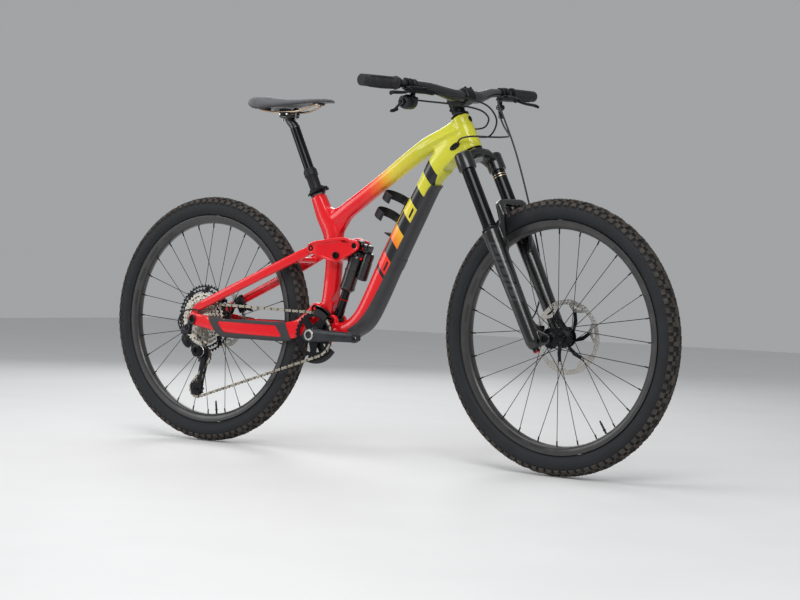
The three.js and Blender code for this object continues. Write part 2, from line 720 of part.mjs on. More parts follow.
const FREEHUB_Y = -27; // the hub's core ends here, where the sprockets' own body begins
const REAR = {
  left: REAR_HUB / 2 - GAP, right: FREEHUB_Y, flangeLeft: 34, flangeRight: -20, flangeR: 27,
  bore: 6.6,
};
node("rear_tyre", tyre(REAR_AXLE), FINISH.rubber);
node("rear_rim", rim(REAR_AXLE), FINISH.carbon);
node("rear_hub", hubCore(REAR_AXLE, REAR), FINISH.black);
node("rear_spokes", spokedFlanges(REAR_AXLE, REAR), FINISH.black);
node("rear_rotor", rotor(REAR_AXLE, REAR_ROTOR_R, REAR_ROTOR_Y, 23), FINISH.steel);

// The sprockets and their freehub body as a stepped cone, largest inboard. The one that the chain
// lies on stops at the chain's inner side.
function cassette() {
  const steps = [
    { y: -29, r: toothR(51) + 3 }, { y: -37, r: toothR(36) + 3 },
    { y: CHAIN_Y + 3.8, r: toothR(COG_TEETH) - 4.8 }, { y: CHAIN_Y - 3.8, r: toothR(16) + 3 },
    { y: -66.5, r: REAR.bore + HUB_WALL },
  ];
  const profile = [[REAR.bore, steps[0].y]];
  for (let i = 0; i + 1 < steps.length; i++) {
    profile.push([steps[i].r, steps[i].y], [steps[i].r, steps[i + 1].y]);
  }
  profile.push(
    [REAR.bore + HUB_WALL, steps.at(-1).y], [REAR.bore + HUB_WALL, -REAR.left],
    [REAR.bore, -REAR.left],
  );
  return turned(profile, 22, REAR_AXLE);
}
node("cassette", cassette(), FINISH.steel);

// ---------------------------------------------------------------- rear brake and derailleur
const caliperAt = (centre, r, angle) => [
  centre[0] + r * Math.cos(angle), centre[1] + r * Math.sin(angle),
];
function caliper(centre, r, angle, y) {
  const body = box(-26, 26, y - 8.5, y + 8.5, -15, 15);
  const slot = box(-40, 40, y - 2.5, y + 2.5, -40, 9);
  const banjo = rod([20, y, 12], [30, y, 22], 5, 10);
  const at = caliperAt(centre, r, angle);
  const made = cut(join(body, banjo), slot);
  return made.rotateY(-angle + Math.PI / 2).translate(at[0], 0, at[1]);
}
node("rear_brake_caliper", caliper(REAR_AXLE, 84, rad(33), REAR_ROTOR_Y), FINISH.black);

const HANGER = [-449, 347];
const P_KNUCKLE = [-418, 276];
const GUIDE_PULLEY = [-418, 262];
const TENSION_PULLEY = [-440, 162];
const LINK_TOP = [-461, 318]; // the parallelogram's pivots on the hanger side
const LINK_LOW = [-431, 290]; // and on the cage side
const B_KNUCKLE_Y = -101; // outer face of the knuckle on the hanger
node("derailleur_base", cut(
  join(
    plate(wrapped([{ at: REAR_AXLE, r: 12 }, { at: HANGER, r: 11 }]), -91, -87),
    pin(HANGER, B_KNUCKLE_Y, -87, 11),
    box(LINK_TOP[0] - 12, HANGER[0] + 8, B_KNUCKLE_Y, -82, LINK_TOP[1] + 7, HANGER[1]),
  ),
  pin(REAR_AXLE, -100, -80, 11),
), FINISH.grey);

// Each link is a bar between its two pivots, short of both knuckles.
const linkBar = (y, r) => {
  const d = new THREE.Vector2(LINK_LOW[0] - LINK_TOP[0], LINK_LOW[1] - LINK_TOP[1]).normalize();
  const end = (at, k) => [at[0] + k * d.x, y, at[1] + k * d.y];
  return rod(end(LINK_TOP, 0), end(LINK_LOW, -3), r, 8);
};
node("derailleur_outer_link", linkBar(-98, 4.5), FINISH.grey);
node("derailleur_inner_link", linkBar(-85, 4), FINISH.grey);
node("derailleur_p_knuckle", join(
  pin(P_KNUCKLE, -92, -68, 14),
  box(LINK_LOW[0] + 3, P_KNUCKLE[0], -102, -81, LINK_LOW[1] - 16, LINK_LOW[1] - 3),
), FINISH.black);

const pulley = (at) => cut(
  pin(at, CHAIN_Y - 2, CHAIN_Y + 2, toothR(PULLEY_TEETH) - 4.2, 12), pin(at, -80, 0, 3.4, 8),
);
node("guide_pulley", pulley(GUIDE_PULLEY), FINISH.grey);
node("tension_pulley", pulley(TENSION_PULLEY), FINISH.grey);

function cage() {
  const ends = [{ at: GUIDE_PULLEY, r: 17 }, { at: TENSION_PULLEY, r: 15 }];
  const waist = wrapped(ends);
  return join(
    plate(waist, -61.5, -59.5),
    plate(waist, -46.5, -44.5),
    pin(GUIDE_PULLEY, -61, -45, 3, 10),
    pin(TENSION_PULLEY, -61, -45, 3, 10),
    pin(P_KNUCKLE, -67.6, -60, 10, 14),
  );
}
node("derailleur_cage", cage(), FINISH.black);

// ---------------------------------------------------------------- chain
// A closed loop round the chainring, the sprocket and the two pulleys, as one flat band.
function chainLoop() {
  const r0 = toothR(RING_TEETH);
  const r1 = toothR(COG_TEETH);
  const rp = toothR(PULLEY_TEETH);
  const tangent = (a, ra, b, rb, side) => {
    const d = new THREE.Vector2(b[0] - a[0], b[1] - a[1]);
    const base = Math.atan2(d.y, d.x);
    return base + side * Math.acos((ra - rb) / d.length());
  };
  const arc = (c, r, from, to, steps) => {
    const points = [];
    for (let i = 0; i <= steps; i++) {
      const a = from + ((to - from) * i) / steps;
      points.push([c[0] + r * Math.cos(a), c[1] + r * Math.sin(a)]);
    }
    return points;
  };
  // upper run: both wheels turn the same way, so the tangent is an outer one
  const top = tangent(REAR_AXLE, r1, BB, r0, 1);
  const low = tangent(TENSION_PULLEY, rp, BB, r0, -1);
  const cross = (a, ra, b, rb, side) => {
    const d = new THREE.Vector2(b[0] - a[0], b[1] - a[1]);
    return Math.atan2(d.y, d.x) + side * Math.acos((ra + rb) / d.length());
  };
  const offCog = cross(REAR_AXLE, r1, GUIDE_PULLEY, rp, -1);
  const offGuide = cross(GUIDE_PULLEY, rp, TENSION_PULLEY, rp, 1);
  const full = 2 * Math.PI;
  return [
    ...arc(BB, r0, top, low, 10),
    ...arc(TENSION_PULLEY, rp, low, offGuide - Math.PI, 6),
    ...arc(GUIDE_PULLEY, rp, offGuide, offCog + Math.PI, 4),
    ...arc(REAR_AXLE, r1, offCog + full, top, 10),
  ];
}

function chain() {
  const line = chainLoop();
  const thick = 3.6;
  const wide = 3.4;
  const corners = line.map((p, i) => {
    const a = line[(i + line.length - 1) % line.length];
    const b = line[(i + 1) % line.length];
    const t = new THREE.Vector2(b[0] - a[0], b[1] - a[1]).normalize();
    return [[1, -1], [1, 1], [-1, 1], [-1, -1]].map(([out, across]) => new THREE.Vector3(
      p[0] - out * t.y * thick, CHAIN_Y + across * wide, p[1] + out * t.x * thick,
    ));
  });
  const positions = [];
  const push = (...points) => points.forEach((p) => positions.push(...p.toArray()));
  corners.forEach((here, i) => {
    const next = corners[(i + 1) % corners.length];
    for (let k = 0; k < 4; k++) {
      const m = (k + 1) % 4;
      push(here[k], here[m], next[m]);
      push(here[k], next[m], next[k]);
    }
  });
  const g = new THREE.BufferGeometry();
  g.setAttribute("position", new THREE.Float32BufferAttribute(positions, 3));
  return solid(g).volume() < 0 ? flipped(g) : g;
}
node("chain", chain(), FINISH.chain);

// ---------------------------------------------------------------- fork
const LEG_Y = 69;
const LEG_X = 8;
const LEG_TOP = 335;
const STANCHION_R = 19;
const crown = [[250, STANCHION_R], [516, STANCHION_R], [517, 25], [563, 25], [567, 21]];
// The crown: level under the head tube, then sloping down to the legs on both sides.
function crownBridge() {
  const left = [[38, 578], [56, 566], [LEG_Y, 566], [LEG_Y, 524], [52, 532], [40, 556]];
  const right = left.map(([y, z]) => [-y, z]).reverse();
  return new THREE.ExtrudeGeometry(outline([...left, ...right]), { depth: 46, bevelEnabled: false })
    .rotateX(Math.PI / 2)
    .rotateZ(Math.PI / 2)
    .translate(-18, 0, 0);
}
node("fork_upper", join(
  column([LEG_X, LEG_Y], crown),
  column([LEG_X, -LEG_Y], crown),
  crownBridge(),
  column([0, 0], [[552, 27], [581, 27], [581.5, 19.5], [640, STEERER_R], [748, STEERER_R]], 16),
), FINISH.black, steered);

function forkLowers() {
  const leg = (s) => [
    column([LEG_X, s * LEG_Y], [[-14, 12], [4, 21], [250, 24], [LEG_TOP, 26]]),
    plate(wrapped([
      { at: [FORK_OFFSET, 0], r: 14 }, { at: [LEG_X, -2], r: 11 }, { at: [LEG_X, 40], r: 11 },
    ]), s * 55.6, s * 67),
    plate(outline([
      [20, 262], [62, 372], [62, 392], [44, 392], [37, 350], [16, 330],
    ]), s * 46, s * 66),
  ];
  // the arch stands ahead of the legs and clears the tyre
  const arch = new THREE.Shape();
  arch.moveTo(-64, 360);
  arch.lineTo(-64, 386);
  arch.quadraticCurveTo(-60, 404, -40, 405);
  arch.lineTo(40, 405);
  arch.quadraticCurveTo(60, 404, 64, 386);
  arch.lineTo(64, 360);
  arch.lineTo(47, 360);
  arch.quadraticCurveTo(46, 387, 34, 388);
  arch.lineTo(-34, 388);
  arch.quadraticCurveTo(-46, 387, -47, 360);
  const bow = new THREE.ExtrudeGeometry(arch, { depth: 20, bevelEnabled: false, curveSegments: 3 })
    .rotateX(Math.PI / 2)
    .rotateZ(Math.PI / 2)
    .translate(43, 0, 0);
  return cut(
    join(...leg(1), ...leg(-1), bow),
    rod([LEG_X, LEG_Y, 60], [LEG_X, LEG_Y, 400], STANCHION_R + 0.4, 12),
    rod([LEG_X, -LEG_Y, 60], [LEG_X, -LEG_Y, 400], STANCHION_R + 0.4, 12),
    rod([FORK_OFFSET, -80, 0], [FORK_OFFSET, 80, 0], 7.9, 10),
  );
}
node("fork_lowers", forkLowers(), FINISH.black, steered);
const FRONT_HERE = [FORK_OFFSET, 0];
node("front_axle", join(
  pin(FRONT_HERE, -71, 71, 7.5, 10), pin(FRONT_HERE, 67.4, 72, 10, 10),
  pin(FRONT_HERE, -72, -67.4, 10, 10),
), FINISH.black, steered);
node("front_tyre", tyre(FRONT_HERE), FINISH.rubber, steered);
node("front_rim", rim(FRONT_HERE), FINISH.carbon, steered);
const FRONT = {
  left: FRONT_HUB / 2 - GAP, right: GAP - FRONT_HUB / 2, flangeLeft: 25, flangeRight: -36,
  flangeR: 25, bore: 7.9,
};
node("front_hub", hubCore(FRONT_HERE, FRONT), FINISH.black, steered);
node("front_spokes", spokedFlanges(FRONT_HERE, FRONT), FINISH.black, steered);
node("front_rotor", rotor(FRONT_HERE, FRONT_ROTOR_R, FRONT_ROTOR_Y, 24), FINISH.steel, steered);
node(
  "front_brake_caliper", caliper(FRONT_HERE, 93, rad(152), FRONT_ROTOR_Y), FINISH.black, steered,
);

// ---------------------------------------------------------------- cockpit
const STEM_Z = [706, 746];
node("stem", cut(
  join(
    rod([0, 0, STEM_Z[0]], [0, 0, STEM_Z[1]], 19.5, 16),
    plate(outline([
      [0, STEM_Z[0] + 3], [BAR_AT[0] - 2, BAR_AT[1] - 23], [BAR_AT[0] - 2, BAR_AT[1] + 23],
      [0, STEM_Z[1] - 3],
    ]), -19, 19),
  ),
  pin(BAR_AT, -40, 40, 18, 16),
  rod([0, 0, 690], [0, 0, 760], STEERER_R + 1, 16),
), FINISH.black, steered);
node("stem_faceplate", cut(
  plate(outline([
    [BAR_AT[0] - 1.4, BAR_AT[1] - 23], [BAR_AT[0] + 16, BAR_AT[1] - 21],
    [BAR_AT[0] + 22, BAR_AT[1] - 8], [BAR_AT[0] + 22, BAR_AT[1] + 8],
    [BAR_AT[0] + 16, BAR_AT[1] + 21], [BAR_AT[0] - 1.4, BAR_AT[1] + 23],
  ]), -19, 19),
  pin(BAR_AT, -40, 40, 18, 16),
), FINISH.black, steered);

// Handlebar: [x, y, z, radius] from its middle to its left end.
const BAR = [
  [40, 0, 730, 17.5], [40, 42, 730, 17.5], [39.5, 60, 731.5, 17], [36, 95, 741, 15],
  [31, 140, 754, 13], [26, 190, 761, 11.4], [20, 255, 765, 11.1], [8, 392, 772, 11.1],
];
function barAt(y) {
  const i = Math.max(1, BAR.findIndex((s) => s[1] >= Math.abs(y)));
  const [a, b] = [BAR[i - 1], BAR[i]];
  const f = (Math.abs(y) - a[1]) / (b[1] - a[1]);
  return [a[0] + f * (b[0] - a[0]), y, a[2] + f * (b[2] - a[2])];
}
function handlebar() {
  const stations = [...BAR.slice(1).reverse().map(([x, y, z, r]) => [x, -y, z, r]), ...BAR];
  return loft(stations.map(([x, y, z, r]) => {
    const ring = [];
    for (let k = 0; k < 10; k++) {
      const a = (k * 2 * Math.PI) / 10;
      ring.push(new THREE.Vector3(x + r * Math.cos(a), y, z + r * Math.sin(a)));
    }
    return ring;
  }));
}
node("handlebar", handlebar(), FINISH.black, steered);

function grip(s) {
  const body = rod(barAt(s * 262), [7.5, s * 396, 772.2], 16, 12);
  const flange = rod(barAt(s * 255), barAt(s * 263), 18.5, 12);
  return cut(join(body, flange), rod([21.3, s * 240, 764.2], [7.9, s * 393.6, 772.2], 11.8, 12));
}
node("grip_right", grip(-1), FINISH.rubber, steered);
node("grip_left", grip(1), FINISH.rubber, steered);

// Lever blades and their bodies hang forward and down from the bar.
const LEVER_DROP = rad(-60);
const ahead = (y, f, up = 0) => {
  const [x, , z] = barAt(y);
  return [
    x + f * Math.cos(LEVER_DROP) - up * Math.sin(LEVER_DROP),
    y,
    z + f * Math.sin(LEVER_DROP) + up * Math.cos(LEVER_DROP),
  ];
};
const LEVER_PIVOT_Y = 250;
function brakeBody(s) {
  return cut(
    join(
      rod(ahead(s * 217, 0), ahead(s * 231, 0), 17),
      rod(ahead(s * 224, 8), ahead(s * 224, 27), 7, 6),
      rod(ahead(s * 150, 30), ahead(s * 240, 27), 9.5, 8),
    ),
    rod(barAt(s * 200), barAt(s * 250), 12.2, 12),
  );
}
function brakeLever(s) {
  const blade = hose([
    ahead(s * LEVER_PIVOT_Y, 32), ahead(s * 268, 46), ahead(s * 295, 50), ahead(s * 325, 50),
    ahead(s * 340, 57),
  ], 4.2, 7, 6);
  return join(
    blade,
    rod(ahead(s * LEVER_PIVOT_Y, 32, -6), ahead(s * LEVER_PIVOT_Y, 32, 6), 7, 8),
  );
}
for (const [name, s] of [["right", -1], ["left", 1]]) {
  node(`brake_body_${name}`, brakeBody(s), FINISH.black, steered);
  node(`brake_lever_${name}`, brakeLever(s), FINISH.black, steered);
}

// The shifter hangs under the right side of the bar; its thumb lever sweeps back beneath it.
node("shifter_body", cut(
  join(
    rod(barAt(-196), barAt(-208), 16),
    rod([22, -202, 752], [10, -202, 726], 8, 6),
    rod([6, -199, 724], [6, -246, 722], 19),
  ),
  rod(barAt(-190), barAt(-230), 12.4, 10),
), FINISH.black, steered);
node("shifter_lever", join(
  rod([4, -247.4, 718], [4, -253, 718], 9, 10),
  rod([4, -250, 718], [-22, -256, 706], 4.5, 8),
  rod([-20, -248, 706], [-24, -268, 705], 7, 8),
), FINISH.grey, steered);
node("dropper_remote", cut(
  join(
    rod(barAt(196), barAt(206), 16),
    rod([20, 201, 752], [8, 201, 728], 8, 6),
    rod([6, 194, 726], [6, 210, 726], 9),
  ),
  rod(barAt(190), barAt(230), 12.4, 10),
), FINISH.black, steered);
node("dropper_lever", join(
  rod([6, 210.5, 726], [6, 216, 726], 8, 10),
  rod([6, 214, 726], [-22, 232, 714], 4.5, 8),
  rod([-19, 224, 715], [-24, 248, 712], 7, 8),
), FINISH.black, steered);

// ---------------------------------------------------------------- hoses and cable housings
const HOSE_R = 2.5;
node("front_brake_hose", hose([
  steeredPoint(46, 144, 729), steeredPoint(52, 128, 712), steeredPoint(62, 112, 660),
  steeredPoint(64, 104, 560), steeredPoint(52, 100, 440), steeredPoint(34, 98, 330),
  steeredPoint(4, 101, 215), steeredPoint(-24, 94, 150), steeredPoint(-42, 74, 112),
  steeredPoint(-45, 46, 92),
], HOSE_R, 18, 5), FINISH.rubber);
node("rear_brake_hose", hose([
  steeredPoint(46, -144, 729), steeredPoint(50, -128, 722), steeredPoint(74, -60, 704),
  steeredPoint(96, 0, 672), steeredPoint(84, 36, 634), steeredPoint(40, 44, 610),
  headPoint(-2, 34, 630),
], HOSE_R, 14, 5), FINISH.rubber);
node("shift_housing", hose([
  steeredPoint(8, -197, 724), steeredPoint(20, -170, 716), steeredPoint(58, -90, 690),
  steeredPoint(76, -10, 668), steeredPoint(66, 30, 650), steeredPoint(32, 44, 640),
  headPoint(-8, 32, 656),
], HOSE_R, 14, 5), FINISH.rubber);
node("dropper_housing", hose([
  steeredPoint(8, 192, 725), steeredPoint(22, 160, 696), steeredPoint(48, 102, 648),
  steeredPoint(88, 30, 622), steeredPoint(74, -24, 618), steeredPoint(30, -46, 628),
  headPoint(-30, -34, 632),
], HOSE_R, 14, 5), FINISH.rubber);

export default bike;
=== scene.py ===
import math

import bmesh
import bpy
from mathutils import Matrix, Vector


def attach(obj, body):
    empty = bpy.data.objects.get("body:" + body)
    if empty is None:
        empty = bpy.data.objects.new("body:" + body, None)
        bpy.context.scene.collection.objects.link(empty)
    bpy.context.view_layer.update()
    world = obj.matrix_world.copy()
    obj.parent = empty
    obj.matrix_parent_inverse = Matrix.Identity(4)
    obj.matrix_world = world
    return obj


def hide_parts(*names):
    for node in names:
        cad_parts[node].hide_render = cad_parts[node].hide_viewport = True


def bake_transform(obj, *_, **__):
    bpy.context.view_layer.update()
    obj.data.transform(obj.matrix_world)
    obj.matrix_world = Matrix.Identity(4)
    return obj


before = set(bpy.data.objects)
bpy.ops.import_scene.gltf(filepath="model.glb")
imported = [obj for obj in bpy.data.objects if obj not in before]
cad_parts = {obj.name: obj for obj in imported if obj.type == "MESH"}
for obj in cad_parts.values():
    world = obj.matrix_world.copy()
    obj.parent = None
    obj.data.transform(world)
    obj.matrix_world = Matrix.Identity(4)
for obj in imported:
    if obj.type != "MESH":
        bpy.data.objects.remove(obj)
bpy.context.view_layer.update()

# ---------------------------------------------------------------- driving dimensions
ORIGIN_X = 175.5  # the frame's origin, measured forward from the bottom bracket
RIM_R = 316
RIM_BED_R = 291
RIM_HALF = 17.5
CASING_R = 27.5  # of the tyre's round section
CASING_MID = 340  # radius of that section's centre line
BB = (0, 345)
REAR_AXLE = (-437, 374)
FRONT_AXLE = (788, 374)
MAIN_PIVOT = (-6, 422)
STAY_PIVOT = (-16, 597)
ROCKER_PIVOT = (64, 578)
SHOCK_TOP = (119, 607)
SHOCK_LOW = (44, 389)
SEAT_AT = Vector((-45, 0, 764))
SEAT_DIR = Vector((-0.4296, 0, 0.903))
LEAN = math.radians(25.9)
STEER_REST = math.radians(-4.8)
FORK_OFFSET = 44
HEAD_LOW = 583
HEAD_TOP = 688
SPOKES = 28
PITCH = 12.7
RING_TEETH = 32
COG_TEETH = 24
CHAIN_Y = -53
LEG = (8, 69)  # x and y of a fork leg in the steered frame
BAR_MID = (40, 730)  # the handlebar's middle in the steered frame
CRANK = 170
TAU = 2 * math.pi
rad = math.radians

STEER_BASE = Vector((
    FRONT_AXLE[0] - FORK_OFFSET * math.cos(LEAN), 0, FRONT_AXLE[1] - FORK_OFFSET * math.sin(LEAN),
))
STEER_OUT = Vector((math.cos(LEAN), 0, math.sin(LEAN)))
STEER_UP = Vector((-math.sin(LEAN), 0, math.cos(LEAN)))
LEFT = Vector((0, 1, 0))
UP = (0, 0, 1)


def tooth_r(teeth):
    return teeth * PITCH / TAU


def polar(r, a, at=(0, 0)):
    return (at[0] + r * math.cos(a), at[1] + r * math.sin(a))


def head_point(x, y, z):
    """A point given along and across the steering axis."""
    return STEER_BASE + STEER_OUT * x + LEFT * y + STEER_UP * z


def steered(x, y, z):
    """The same with the bars turned as they stand."""
    c, s = math.cos(STEER_REST), math.sin(STEER_REST)
    return head_point(x * c - y * s, x * s + y * c, z)


def seat_point(t, y=0, out=0):
    return SEAT_AT + SEAT_DIR * t + Vector((SEAT_DIR.z, 0, -SEAT_DIR.x)) * out + LEFT * y


def metres(x, y, z):
    return Vector(((x - ORIGIN_X) / 1000, y / 1000, z / 1000))


# ---------------------------------------------------------------- shapes
def loft(rings, loop=False):
    """A closed skin over rings of equal point counts. With loop its last ring meets its first."""
    n = len(rings[0])
    verts = [tuple(p) for ring in rings for p in ring]
    faces = []
    for i in range(len(rings) if loop else len(rings) - 1):
        a, b = i * n, (i + 1) % len(rings) * n
        faces += [(a + j, a + (j + 1) % n, b + (j + 1) % n, b + j) for j in range(n)]
    if not loop:
        end = (len(rings) - 1) * n
        faces += [tuple(range(n)), tuple(range(end, end + n))]
    return verts, faces


def through(stations, per=6):
    """A smooth line through stations of any number of values; the first three are a position."""
    n = len(stations)
    at = [0.0]
    for a, b in zip(stations, stations[1:]):
        at.append(at[-1] + max(1e-6, math.dist(a[:3], b[:3])))
    slopes = []
    for i in range(n):
        j, k = max(i - 1, 0), min(i + 1, n - 1)
        slopes.append([(b - a) / (at[k] - at[j]) for a, b in zip(stations[j], stations[k])])
    line = []
    for i in range(n - 1):
        d = at[i + 1] - at[i]
        for k in range(per):
            t = k / per
            h = (2 * t**3 - 3 * t**2 + 1, t**3 - 2 * t**2 + t, 3 * t**2 - 2 * t**3, t**3 - t**2)
            line.append(tuple(
                h[0] * a + h[1] * d * ma + h[2] * b + h[3] * d * mb
                for a, b, ma, mb in zip(stations[i], stations[i + 1], slopes[i], slopes[i + 1])
            ))
    line.append(tuple(stations[-1]))
    return line


def power(v, p):
    return math.copysign(abs(v) ** p, v)


def tube(stations, sides=28, square=0.8, per=6):
    """A tube in the fore-aft plane through (x, z, y, h, w): h is half its depth, w half its width."""
    line = through(stations, per)
    rings = []
    for i, (x, z, y, h, w) in enumerate(line):
        a, b = line[max(i - 1, 0)], line[min(i + 1, len(line) - 1)]
        t = Vector((b[0] - a[0], b[1] - a[1])).normalized()
        ring = []
        for k in range(sides):
            c = power(math.cos((k + 0.5) * TAU / sides), square)
            s = power(math.sin((k + 0.5) * TAU / sides), square)
            ring.append((x - t.y * h * c, y + w * s, z + t.x * h * c))
        rings.append(ring)
    return loft(rings)


def sweep(points, radius, sides=12, per=5, flat=1.0, up=(0, 0, 1)):
    """A round bar along a smooth line. radius is one number or one for each point; flat squeezes
    its section in the direction up."""
    radii = radius if isinstance(radius, (list, tuple)) else [radius] * len(points)
    line = through([(*p, r) for p, r in zip(points, radii)], per)
    spots = [Vector(p[:3]) for p in line]
    side = None
    rings = []
    for i, p in enumerate(spots):
        t = (spots[min(i + 1, len(spots) - 1)] - spots[max(i - 1, 0)]).normalized()
        if side is None:
            side = t.cross(Vector(up)).normalized()
        side = (side - t * side.dot(t)).normalized()
        rise = side.cross(t)
        r = line[i][3]
        rings.append([
            p + side * r * math.cos(k * TAU / sides) + rise * r * flat * math.sin(k * TAU / sides)
            for k in range(sides)
        ])
    return loft(rings)


def spindle(origin, axis, profile, sides=28, loop=False):
    """A body turned about an axis, through steps of (distance along it, radius)."""
    axis = Vector(axis).normalized()
    side = axis.orthogonal().normalized()
    up = axis.cross(side)
    rings = []
    for t, r in profile:
        c = Vector(origin) + axis * t
        rings.append([
            c + (side * math.cos(k * TAU / sides) + up * math.sin(k * TAU / sides)) * r
            for k in range(sides)
        ])
    return loft(rings, loop)


def rod(a, b, r, r2=None, sides=24, edge=0.7):
    """A round bar from a to b with its rims eased."""
    a, b = Vector(a), Vector(b)
    d = (b - a).length
    r2 = r if r2 is None else r2
    return spindle(a, b - a, [(0, r - edge), (edge, r), (d - edge, r2), (d, r2 - edge)], sides)


def pin(at, y0, y1, r, sides=24, edge=0.7):
    return rod((at[0], y0, at[1]), (at[0], y1, at[1]), r, None, sides, edge)


def side_bolt(at, y, r, height=3.0):
    """A bolt head that looks outwards from one side of the mid-plane."""
    return bolt((at[0], y, at[1]), (0, math.copysign(1, y), 0), r, height)


def turned(profile, at=(0, 0), segments=96):
    """A ring turned about the Y axis from a closed profile of (radius, y)."""
    rings = []
    for i in range(segments):
        c, s = math.cos(i * TAU / segments), math.sin(i * TAU / segments)
        rings.append([(at[0] + r * c, y, at[1] + r * s) for r, y in profile])
    return loft(rings, loop=True)


def bolt(at, axis, r, height=3.0, sides=24):
    """A round bolt head with a six-sided socket. It stands at the point and looks along axis."""
    axis = Vector(axis).normalized()
    side = axis.orthogonal().normalized()
    up = axis.cross(side)
    sixth = TAU / 6
    rings = []
    steps = [
        (-2, r, 0), (height - 0.8, r, 0), (height, r - 0.8, 0), (height, r * 0.6, 1),
        (height - min(3, height + 1), r * 0.56, 1),
    ]
    for t, size, hexagon in steps:
        ring = []
        for k in range(sides):
            a = k * TAU / sides
            reach = size
            if hexagon:
                reach = size * math.cos(sixth / 2) / math.cos(a % sixth - sixth / 2)
            ring.append(Vector(at) + axis * t + (side * math.cos(a) + up * math.sin(a)) * reach)
        rings.append(ring)
    return loft(rings)


def welded(bm, distance=0.01):
    """A closed shape from a bmesh, with its doubled points joined."""
    bmesh.ops.remove_doubles(bm, verts=bm.verts, dist=distance)
    shape = [tuple(v.co) for v in bm.verts]
    bm.verts.index_update()
    faces = [tuple(v.index for v in f.verts) for f in bm.faces]
    bm.free()
    return shape, faces


def block(x, y, z, edge=1.0, segments=2):
    """A box over three ranges with its edges rounded."""
    bm = bmesh.new()
    bmesh.ops.create_cube(bm, size=1)
    for v in bm.verts:
        v.co = Vector([(a + b) / 2 + c * (b - a) for (a, b), c in zip((x, y, z), v.co)])
    bmesh.ops.bevel(
        bm, geom=bm.edges[:], offset=edge, segments=segments, affect="EDGES", profile=0.6,
    )
    return welded(bm, 1e-4)


def slab(loops, w0, w1, edge=0.4):
    """A flat piece from w0 to w1 in y, from loops of (x, z): its outline first, then its holes."""
    data = bpy.data.curves.new("slab", "CURVE")
    data.dimensions = "2D"
    data.fill_mode = "BOTH"
    data.extrude = max(0.01, abs(w1 - w0) / 2 - edge)
    data.bevel_depth = edge
    data.bevel_resolution = 0
    data.offset = -edge
    for loop in loops:
        spline = data.splines.new("POLY")
        spline.points.add(len(loop) - 1)
        for point, (u, v) in zip(spline.points, loop):
            point.co = (u, v, 0, 1)
        spline.use_cyclic_u = True
    holder = bpy.data.objects.new("slab", data)
    bpy.context.scene.collection.objects.link(holder)
    graph = bpy.context.evaluated_depsgraph_get()
    mesh = bpy.data.meshes.new_from_object(holder.evaluated_get(graph))
    bm = bmesh.new()
    bm.from_mesh(mesh)
    verts, faces = welded(bm)
    bpy.data.objects.remove(holder)
    bpy.data.curves.remove(data)
    bpy.data.meshes.remove(mesh)
    mid = (w0 + w1) / 2
    return [(u, mid + w, v) for u, v, w in verts], faces


def circle(r, at=(0, 0), n=32, start=0.0, end=TAU):
    """Points round a circle, or round a part of one."""
    whole = abs(end - start - TAU) < 1e-6
    steps = n if whole else n - 1
    return [polar(r, start + (end - start) * i / steps, at) for i in range(n)]


def wrapped(discs, steps=28):
    """The outline that wraps discs (centre, radius), as a hull of their rims."""
    points = sorted(p for at, r in discs for p in circle(r, at, steps))
    halves = []
    for order in (points, points[::-1]):
        hull = []
        for p in order:
            while len(hull) > 1:
                (ax, az), (bx, bz) = hull[-2], hull[-1]
                if (bx - ax) * (p[1] - az) - (bz - az) * (p[0] - ax) > 1e-9:
                    break
                hull.pop()
            hull.append(p)
        halves += hull[:-1]
    return halves


def gear(teeth, at=(0, 0), depth=4.2, tip=0.3, root=0.62, over=2.2):
    """A sprocket's outline, its tips above the pitch circle by over."""
    r = tooth_r(teeth) + over
    tooth = ((-root / 2, -depth), (-tip / 2, 0), (tip / 2, 0), (root / 2, -depth))
    return [polar(r + reach, (i + share) * TAU / teeth, at)
            for i in range(teeth) for share, reach in tooth]


def sector(r0, r1, start, end, at=BB, n=24):
    return circle(r1, at, n, rad(start), rad(end)) + circle(r0, at, n, rad(start), rad(end))[::-1]


# ---------------------------------------------------------------- objects
class Form:
    """A piece in the making: shapes are added to it, then it becomes an object on a body."""

    def __init__(self, place=None):
        self.verts = []
        self.faces = []
        self.mats = []
        self.place = place

    def add(self, shape, mat=0, place=None):
        verts, faces = shape
        base = len(self.verts)
        move = place or self.place
        self.verts += [move(*v) if move else v for v in verts]
        self.faces += [[base + i for i in face] for face in faces]
        self.mats += [mat] * len(faces)
        return self

    def mesh(self, name):
        mesh = bpy.data.meshes.new(name)
        mesh.from_pydata([metres(*v) for v in self.verts], [], self.faces)
        mesh.polygons.foreach_set("material_index", self.mats)
        bm = bmesh.new()
        bm.from_mesh(mesh)
        bmesh.ops.recalc_face_normals(bm, faces=bm.faces)
        bm.to_mesh(mesh)
        bm.free()
        return mesh

    def make(self, name, body, materials, slot, sharp=32, shape=None, node=True):
        """shape, where given, changes the finished object before it is put on its body. With node
        the piece stands for the CAD node of its name."""
        piece = bpy.data.objects.new(name, self.mesh(name))
        bpy.context.scene.collection.objects.link(piece)
        if shape:
            shape(piece)
        materials = materials if isinstance(materials, list) else [materials]
        for m in materials:
            piece.data.materials.append(m)
        soften(piece.data, sharp)
        if body:
            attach(piece, body)
        if node:
            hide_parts(name)
        return piece


def soften(mesh, sharp):
    mesh.polygons.foreach_set("use_smooth", [True] * len(mesh.polygons))
    mesh.set_sharp_from_angle(angle=rad(sharp))
    mesh.update()


def applied(piece):
    """Bakes the modifiers of a piece into its mesh."""
    bpy.context.view_layer.update()
    graph = bpy.context.evaluated_depsgraph_get()
    old = piece.data
    mesh = bpy.data.meshes.new_from_object(piece.evaluated_get(graph))
    piece.modifiers.clear()
    piece.data = mesh
    mesh.name = old.name
    bpy.data.meshes.remove(old)


